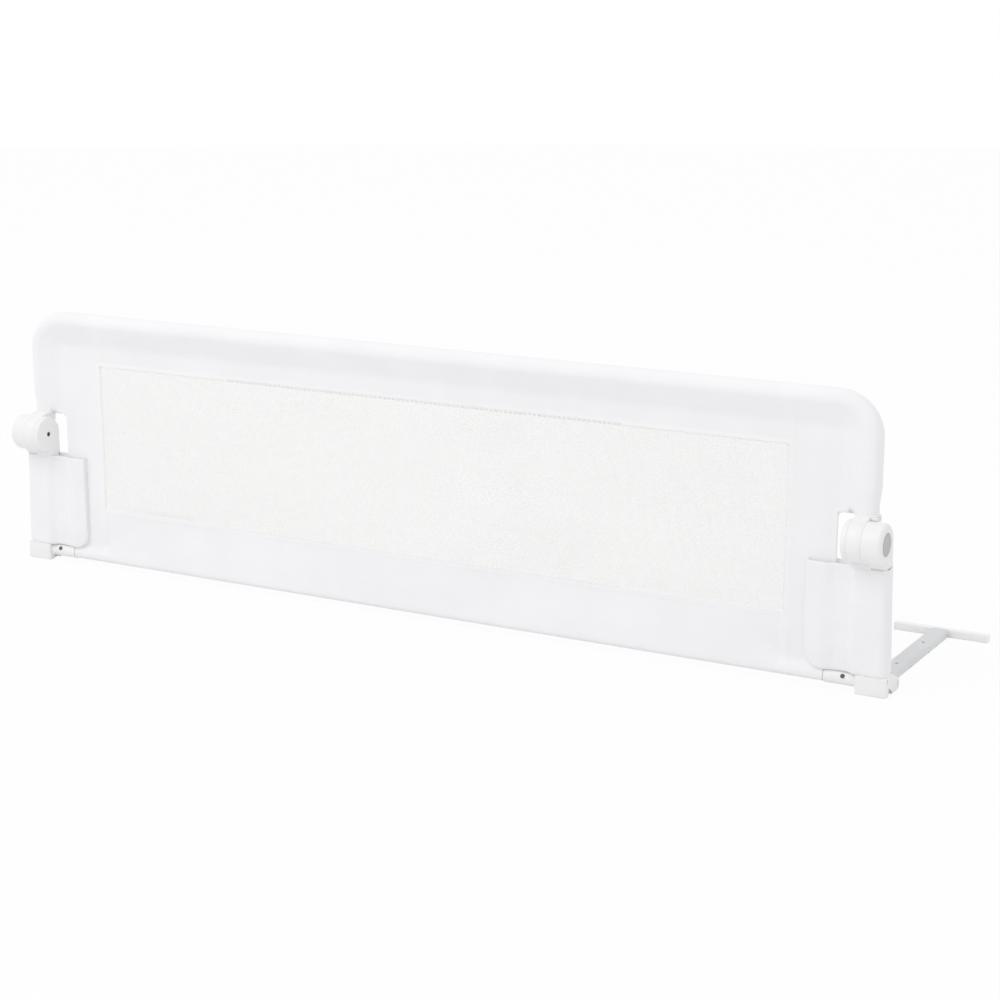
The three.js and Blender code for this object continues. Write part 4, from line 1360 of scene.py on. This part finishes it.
class GUARDRAIL_OT_cover_stitches(Piece, bpy.types.Operator):
    """Sew the cover's sleeve, window hem, seam tapes, notches and bottom hem"""

    bl_idname = "guard_rail.cover_stitches"
    bl_label = "Cover stitches"

    def execute(self, context):
        sleeve = upper_path(-27, NOTCH_TOP + 4, 4)
        paths = [sleeve + mirrored(reversed(sleeve[:-1]))]
        for away in (2.2, 7.8):
            for z in (WINDOW_LOW - away, WINDOW_HIGH + away):
                paths.append(level(-SEAM_X - away, SEAM_X + away, z, 4))
        low, high = HEM_Z + HEM_SEAM + 2, TUBE_Z - 28
        paths.append(level(-HEM_END_X + 2, HEM_END_X - 2, low, 4))
        for side in (-1, 1):
            for away in (2.2, 10):
                paths.append(upright(side * (SEAM_X + away), low, high, 4))
            edge = upright(NOTCH_X - 5.5, POCKET_TOP + 3, NOTCH_UP, 3)
            edge += arc(NOTCH_IN, NOTCH_UP, NOTCH_CORNER + 5.5, 180, 90, 8)[1:]
            edge += level(NOTCH_X + 11, TUBE_X - 27, NOTCH_TOP + 5.5, 3)
            paths.append([(side * x, z) for x, z in edge])
        obj = stitched("cover_stitches", face_rows(paths, cover_half, wave))
        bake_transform(obj)
        return {"FINISHED"}


class GUARDRAIL_OT_pockets(Piece, bpy.types.Operator):
    """Make the padded pockets round the posts, with their hem stitches"""

    bl_idname = "guard_rail.pockets"
    bl_label = "Pockets"

    def execute(self, context):
        for end, side in ENDS:
            mesh = pocket_form()
            if side < 0:
                mesh.transform(Matrix.Diagonal((-1, 1, 1, 1)))
                mesh.flip_normals()
            obj = object_of(f"pocket_{end}", mesh, "white_fabric", 60)
            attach(obj, "base")
            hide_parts(f"pocket_{end}")
            paths = [level(POCKET_X + 6, OUTER_X - 9, POCKET_TOP - 5, 3)]
            paths.append([(x, pocket_low(x) + 6.5) for x, _ in paths[0]])
            rows = face_rows(paths, pocket_half, lambda x, z: 0.0)
            rows = [[(side * x, y, z) for x, y, z in map(leaned, row)] for row in rows]
            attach(stitched(f"pocket_stitches_{end}", rows), "base")
        return {"FINISHED"}


class GUARDRAIL_OT_hinge_housings(Piece, bpy.types.Operator):
    """Mould the fixed hinge: inner cheek, back wall, base and outer drum"""

    bl_idname = "guard_rail.hinge_housings"
    bl_label = "Hinge housings"

    def execute(self, context):
        steps = context.scene.guard_rail_hardware.round_steps * 2
        centre = (AXIS_Y, AXIS_Z)
        bm = bmesh.new()
        inner, outer = reach_of(housing_outline(-3, 50)), reach_of(housing_outline(7.5, 0))
        cheek = [(CHEEK_X + 6, 1.0), (CHEEK_X + 6, 3.4), (CHEEK_X + 0.8, 3.6), (CHEEK_X, 4.4)]
        for along, inset in reversed(rim(CHEEK_ROUND)):
            cheek.append((CHEEK_X + CHEEK_ROUND - along, -inset))
        cheek += [(CHEEK_X + 5, -0.001), (CHEEK_X + 5.4, -0.4), (CHEEK_X + 5.4, BOLT_HOLE)]
        turned(bm, cheek, centre, steps, inner)
        plate = [(CHEEK_X + 3.4, BOLT_HOLE)]
        for along, inset in reversed(rim(PLATE_ROUND)):
            plate.append((CHEEK_X + 4.8 - along, -inset))
        plate += [(SLOT_LOW_X - 0.3, -0.001), (SLOT_LOW_X, -0.3), (SLOT_LOW_X, BOLT_HOLE)]
        turned(bm, plate, centre, steps, reach_of(housing_outline(8.6, 30)))
        drum = [(SLOT_HIGH_X, BOLT_HOLE), (SLOT_HIGH_X, -0.3), (SLOT_HIGH_X + 0.3, -0.001)]
        drum += [(OUTER_X - DRUM_ROUND + along, -inset) for along, inset in rim(DRUM_ROUND, 8)]
        drum += [(OUTER_X, BORE + 1), (OUTER_X - 0.3, BORE + 0.3), (OUTER_X - 0.9, BORE)]
        drum += [(RECESS_X, BORE), (RECESS_X, BOLT_HOLE)]
        turned(bm, drum, centre, steps, outer)
        box(bm, (SLOT_LOW_X - 1.6, 7.8, 182), (SLOT_HIGH_X + 5, BACK_Y, WALL_TOP), 1.4)
        box(bm, (SLOT_LOW_X - 2, -14.6, 178.2), (SLOT_HIGH_X + 4, BACK_Y - 0.2, 188.6), 0.4)
        box(bm, (CHEEK_X + 3, -10.5, 166), (OUTER_X - 5, 6, 184), 1.5)
        box(bm, (OUTER_X - 16, -13.4, POCKET_TOP + 0.2), (OUTER_X - 0.5, 6.6, 190), 1.2)
        box(bm, (706, -12, POCKET_TOP - 3.2), (OUTER_X - 2.6, 6, 184), 0.8)
        pair("hinge_housing", bm, "white_plastic", "base", 32)
        return {"FINISHED"}


class GUARDRAIL_OT_turning_arms(Piece, bpy.types.Operator):
    """Mould the turning half of the hinge: barrel, stem and collar"""

    bl_idname = "guard_rail.turning_arms"
    bl_label = "Turning arms"

    def execute(self, context):
        steps = context.scene.guard_rail_hardware.round_steps * 2
        low, high = SLOT_LOW_X + SLOT_GAP, SLOT_HIGH_X - SLOT_GAP
        bm = bmesh.new()
        edge = [(0, BOLT_HOLE), (0, BARREL - 0.3), (0.1, BARREL - 0.1), (0.3, BARREL)]
        barrel = [(low + along, radius) for along, radius in edge]
        barrel += [(high - along, radius) for along, radius in reversed(edge)]
        turned(bm, barrel, (AXIS_Y, AXIS_Z), steps)
        self.stem(bm, low, high)
        box(bm, (high - 6, -2.6, SHOULDER_Z + 2.2), (731, 7.5, 252), 1.5)
        box(bm, (high - 6, -7.4, 243.6), (731, 0, 250), 0.3)
        box(bm, (high - 6, -12.6, 246.2), (732, -5, 250), 0.3)
        collar = (
            (11.4, 300), (11.4, 253), (13.6, 252.4), (14.8, 251.6), (15.3, 250.4), (15.3, 248.6),
            (15, 247.8), (14.2, 247.4), (8, 247.4),
        )
        loft(bm, [hoop(TUBE_X, 0, z, radius, 64) for radius, z in collar])
        pair("hinge_arm", bm, "white_plastic", "guard", 32)
        return {"FINISHED"}

    @staticmethod
    def stem(bm, low, high):
        """A neck from the barrel up to the collar, its sides rounded."""
        middle, width = (low + high) / 2, high - low
        rings = []
        for z, front, back, corner in (
            (218, -29.5, -14, 1.5), (236, -29.5, 6, 1.5), (240.5, -29.5, 8, 1.5),
            (243.6, -29.5, 8, 1.5), (246.4, -27.6, 8, 1.6), (248.5, -24.2, 8, 1.8),
            (250.2, -19.6, 8, 1.8), (251.2, -15.8, 8, 1.8), (252.2, -13.5, 7.4, 1.8),
        ):
            slimmer = 0 if z < 251 else (z - 250.4) * 1.4
            section = rounded_section(width - slimmer, back - front, corner)
            rings.append([(middle + x, (front + back) / 2 + y, z) for x, y in section])
        loft(bm, rings)


class GUARDRAIL_OT_buttons(Piece, bpy.types.Operator):
    """Mould the release buttons, slightly dished with a fine ring"""

    bl_idname = "guard_rail.buttons"
    bl_label = "Release buttons"

    def execute(self, context):
        face = OUTER_X + BUTTON_OUT
        back = face - BUTTON_DEPTH
        profile = [(back, 1.0), (back, BUTTON - 0.8), (back, BUTTON)]
        for along, inset in rim(BUTTON_ROUND):
            profile.append((face - BUTTON_ROUND + along, BUTTON - inset))
        for sunk, wider in ((0.1, 0.6), (0.35, 0.3), (0.1, 0)):
            profile.append((face - sunk, BUTTON_RING + wider))
        for radius in (11.5, 10, 8, 6, 4, 2, 0.6):
            profile.append((face - 0.1 - BUTTON_DISH * (1 - (radius / BUTTON_RING) ** 2), radius))
        bm = bmesh.new()
        turned(bm, profile, (AXIS_Y, AXIS_Z), context.scene.guard_rail_hardware.round_steps)
        pair("release_button", bm, "grey_plastic", "button_{end}", 32)
        return {"FINISHED"}


class GUARDRAIL_OT_feet(Piece, bpy.types.Operator):
    """Mould the feet under the posts, with their slits and notches"""

    bl_idname = "guard_rail.feet"
    bl_label = "Feet"

    def execute(self, context):
        bm, tools = bmesh.new(), bmesh.new()
        edge = ((0, 1.4), (0.5, 0.45), (1.5, 0))
        rows = [self.side(FOOT_INNER + along, inset) for along, inset in edge]
        rows += [self.side(FOOT_OUTER - along, inset) for along, inset in reversed(edge)]
        loft(bm, rows)
        aside = ARM_WIDE / 2 + ARM_CLEARANCE
        box(tools, (ARM_X - aside, -8, -2), (ARM_X + aside, FOOT_BACK + 2, 13 + ARM_CLEARANCE))
        for y, wide, bottom, top in ((-10, 2.6, 20, 26.5), (32, 3.4, 6.5, 13.5)):
            box(tools, (FOOT_OUTER - 3, y - wide / 2, bottom), (FOOT_OUTER + 2, y + wide / 2, top))
        notch = ((-3, -3), (12, -3), (12, 4), (0, 11.5), (-3, 11.5))
        loft(tools, [[(x, y, z) for y, z in notch] for x in (FOOT_INNER - 2, FOOT_OUTER + 2)])
        bm = cut(bm, tools)
        mouth, inside_foot = HEM_END_X + 1.5, FOOT_INNER + 3
        socket = [(mouth, SOCKET_BORE), (mouth, SOCKET_RADIUS - 0.6), (mouth + 0.6, SOCKET_RADIUS)]
        socket += [(inside_foot, SOCKET_RADIUS), (inside_foot, SOCKET_BORE)]
        turned(bm, socket, (0, HEM_Z - SOCKET_LOWER), 72)
        pair("foot", bm, "white_plastic", "base", 30)
        return {"FINISHED"}

    @staticmethod
    def side(x, inset):
        """The foot's outline in y and z at one station, its corners rounded."""
        front, back = FOOT_FRONT + inset, FOOT_BACK - inset
        tall, short = FOOT_TALL - inset, FOOT_SHORT - inset
        corners = [(front, inset), (back, inset), (back, short)]
        corners += [(14 - inset * 0.4, tall), (front, tall)]
        corners = [Vector(corner) for corner in corners]
        points = []
        for i, here in enumerate(corners):
            ends = corners[i - 1], corners[(i + 1) % len(corners)]
            first, last = (here + (end - here).normalized() * FOOT_ROUND for end in ends)
            points += [(x, y, z) for y, z in bent(first, here, last, 4)]
        return points


class GUARDRAIL_OT_support_arms(Piece, bpy.types.Operator):
    """Bend and paint the support arms that go under the mattress"""

    bl_idname = "guard_rail.support_arms"
    bl_label = "Support arms"

    def execute(self, context):
        low, high = drawn_box("support_arm_right")
        middle = (low.x + high.x) / 2
        tall = high.z
        bm, tools, rings = bmesh.new(), bmesh.new(), []
        for y, inset in ((low.y, 0.5), (low.y + 0.4, 0), (high.y - 0.4, 0), (high.y, 0.5)):
            corner = ARM_ROUND - inset
            section = rounded_section(ARM_WIDE - inset * 2, tall - inset * 2, corner, 8)
            rings.append([(middle + x, y, tall / 2 + z) for x, z in section])
        loft(bm, rings)
        for y in ARM_HOLES_Y:
            loft(tools, [hoop(middle, y, z, ARM_HOLE, 32) for z in (-2, tall + 2)])
        for y in ARM_SLOTS_Y:
            box(tools, (high.x - 1.2, y, 1.6), (high.x + 1, y + ARM_SLOT, 3.6), 0.4, 1)
        pair("support_arm", cut(bm, tools), "grey_paint", "base", 30)
        return {"FINISHED"}


class GUARDRAIL_OT_cross_bars(Piece, bpy.types.Operator):
    """Paint the cross bars and press on their end caps"""

    bl_idname = "guard_rail.cross_bars"
    bl_label = "Cross bars"

    def execute(self, context):
        low, high = drawn_box("cross_bar_right")
        stations = [(low.x, 0.3), (low.x + 0.3, 0), (high.x - 0.3, 0), (high.x, 0.3)]
        self.sections("cross_bar", stations, "grey_paint", finishes()["bar_paint"])
        for name, way in (("cross_bar_cap_outer", 1), ("cross_bar_cap_inner", -1)):
            low, high = drawn_box(f"{name}_right")
            end = high.x if way > 0 else low.x
            stations = [(end - way * CAP_THICK, 0.25), (end - way * (CAP_THICK - 0.25), 0)]
            for along, inset in rim(CAP_ROUND):
                stations.append((end - way * (CAP_ROUND - along), inset))
            self.sections(name, stations, "cap_plastic")
        return {"FINISHED"}

    @staticmethod
    def sections(name, stations, slot, material=None):
        """A square bar with soft edges through its stations."""
        bm = bmesh.new()
        rings = []
        for x, inset in stations:
            side = BAR_SIDE - 2 * inset
            section = rounded_section(side, side, BAR_ROUND - min(inset, BAR_ROUND / 2))
            rings.append([(x, BAR_Y + y, BAR_SIDE / 2 + z) for y, z in section])
        loft(bm, rings)
        pair(name, bm, slot, "base", 35, material)


class GUARDRAIL_OT_bottom_tubes(Piece, bpy.types.Operator):
    """Draw the bottom tube's two halves"""

    bl_idname = "guard_rail.bottom_tubes"
    bl_label = "Bottom tubes"

    def execute(self, context):
        low, high = drawn_box("bottom_tube_right")
        bm = bmesh.new()
        stations = [(low.x, BOTTOM_TUBE_BORE), (low.x, BOTTOM_TUBE), (high.x - 0.4, BOTTOM_TUBE)]
        stations += [(high.x, BOTTOM_TUBE - 0.4), (high.x, BOTTOM_TUBE_BORE)]
        turned(bm, stations, (0, HEM_Z), 64)
        pair("bottom_tube", bm, "white_paint", "base", 35)
        return {"FINISHED"}


class GUARDRAIL_OT_screws(Piece, bpy.types.Operator):
    """Turn the screws in the bottom tube and under the feet"""

    bl_idname = "guard_rail.screws"
    bl_label = "Screws"

    def execute(self, context):
        tree = screw_tree()
        tilt = radians(TUBE_SCREW_TILT)
        aim = Vector((0, -cos(tilt), sin(tilt)))
        tube = Vector((TUBE_SCREW_X, 0, HEM_Z - SOCKET_LOWER)) + aim * TUBE_SCREW_OUT
        for name, place, way, size in (
            ("tube_screw", tube, aim, 1.0),
            ("arm_screw", Vector(ARM_SCREW_PLACE), Vector((0, 0, -1)), ARM_SCREW_SIZE),
        ):
            for end, side in ENDS:
                template = self.template()
                made = grown(
                    [(place.x * side, place.y, place.z)], [], tree, [(way.x * side, way.y, way.z)],
                    Screw=template, Size=size, Steel=finishes()["dark_steel"],
                )
                bpy.data.meshes.remove(template.data)
                obj = object_of(f"{name}_{end}", made, "dark_steel", 30)
                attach(obj, "base")
                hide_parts(f"{name}_{end}")
        return {"FINISHED"}

    @staticmethod
    def template():
        """A pan head with a cross recess, its top towards +Z, and a short shank."""
        bm, tools = bmesh.new(), bmesh.new()
        profile = (
            (1.5, -7), (1.5, 0), (2.9, 0), (3.2, 0.25), (3.2, 0.9), (2.9, 1.4), (2.3, 1.75),
            (1.5, 1.95), (0.7, 2.02),
        )
        loft(bm, [hoop(0, 0, z, radius, 40) for radius, z in profile])
        for turn in (0, pi / 2):
            box(tools, (-1.8, -0.375, 0.7), (1.8, 0.375, 3.1), turn=turn)
        mesh = turned_out(cut(bm, tools), "screw")
        mesh.transform(Matrix.Scale(MM, 4))
        return linked("screw", mesh)


class GUARDRAIL_OT_springs(Piece, bpy.types.Operator):
    """Coil the lock springs, drawn at rest; on the rail they shorten when a button is pressed"""

    bl_idname = "guard_rail.springs"
    bl_label = "Lock springs"

    def execute(self, context):
        low, high = drawn_box("lock_spring_right")
        coil, steps = (high.z - low.z) / 2 - SPRING_WIRE, 32
        first, last = low.x + SPRING_WIRE, high.x - SPRING_WIRE
        bm = bmesh.new()
        rings = []
        for k in range(SPRING_TURNS * steps + 1):
            angle = 2 * pi * k / steps
            out = Vector((0, cos(angle), sin(angle)))
            along = (last - first) * k / (SPRING_TURNS * steps)
            middle = Vector((first + along, AXIS_Y, AXIS_Z)) + out * coil
            ring = []
            for i in range(10):
                turn = 2 * pi * i / 10
                aside = Vector((SPRING_WIRE * sin(turn), 0, 0))
                ring.append(middle + out * SPRING_WIRE * cos(turn) + aside)
            rings.append(ring)
        loft(bm, rings)
        for end, side in ENDS:
            name = f"lock_spring_{end}"
            obj = object_of(name, mesh_of(bm, side), "zinc_steel", 60)
            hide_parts(name)
            places = [in_frame((side * x, AXIS_Y, AXIS_Z)) for x in (first, last)]
            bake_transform(obj)
        bm.free()
        return {"FINISHED"}


class GUARDRAIL_OT_inner_parts(Piece, bpy.types.Operator):
    """Finish the frame's own parts that stay as they are"""

    bl_idname = "guard_rail.inner_parts"
    bl_label = "Inner parts"

    FINISH = {
        "upper_tube": "white_paint", "lower_post": "white_paint", "lock_gear": "gear_plastic",
        "pivot_bolt": "dark_steel", "pivot_nut": "zinc_steel", "top_joiner": "zinc_steel",
        "bottom_joiner": "zinc_steel", "upper_tube_rivet": "zinc_steel",
        "foot_rivet": "zinc_steel", "housing_rivet": "zinc_steel",
    }

    def execute(self, context):
        for name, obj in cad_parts.items():
            finish = self.FINISH.get(name.removesuffix("_right").removesuffix("_left"))
            if finish:
                for place in obj.material_slots:
                    place.material = finishes()[finish]
        return {"FINISHED"}


class GUARDRAIL_PT_panel(bpy.types.Panel):
    """Lists the pieces of the guard rail"""

    bl_idname = "GUARDRAIL_PT_panel"
    bl_label = "Guard rail"
    bl_space_type = "VIEW_3D"
    bl_region_type = "UI"
    bl_category = "Guard rail"

    def draw(self, context):
        for operator in OPERATORS:
            self.layout.operator(operator.bl_idname)
        for name, group in GROUPS:
            for setting in group.__annotations__:
                self.layout.prop(getattr(context.scene, name), setting)


OPERATORS = (
    GUARDRAIL_OT_stage,
    GUARDRAIL_OT_cover,
    GUARDRAIL_OT_net,
    GUARDRAIL_OT_cover_stitches,
    GUARDRAIL_OT_pockets,
    GUARDRAIL_OT_hinge_housings,
    GUARDRAIL_OT_turning_arms,
    GUARDRAIL_OT_buttons,
    GUARDRAIL_OT_feet,
    GUARDRAIL_OT_support_arms,
    GUARDRAIL_OT_cross_bars,
    GUARDRAIL_OT_bottom_tubes,
    GUARDRAIL_OT_screws,
    GUARDRAIL_OT_springs,
    GUARDRAIL_OT_inner_parts,
)
GROUPS = (
    ("guard_rail_cover", CoverSettings),
    ("guard_rail_hardware", HardwareSettings),
    ("guard_rail_stage", StageSettings),
)


def register():
    for name, group in GROUPS:
        bpy.utils.register_class(group)
        setattr(bpy.types.Scene, name, PointerProperty(type=group))
    for cls in (*OPERATORS, GUARDRAIL_PT_panel):
        bpy.utils.register_class(cls)


def unregister():
    for cls in (GUARDRAIL_PT_panel, *reversed(OPERATORS)):
        bpy.utils.unregister_class(cls)
    for name, group in reversed(GROUPS):
        delattr(bpy.types.Scene, name)
        bpy.utils.unregister_class(group)


def main():
    register()
    for operator in OPERATORS:
        family, name = operator.bl_idname.split(".")
        getattr(getattr(bpy.ops, family), name)()


if __name__ == "__main__":
    main()
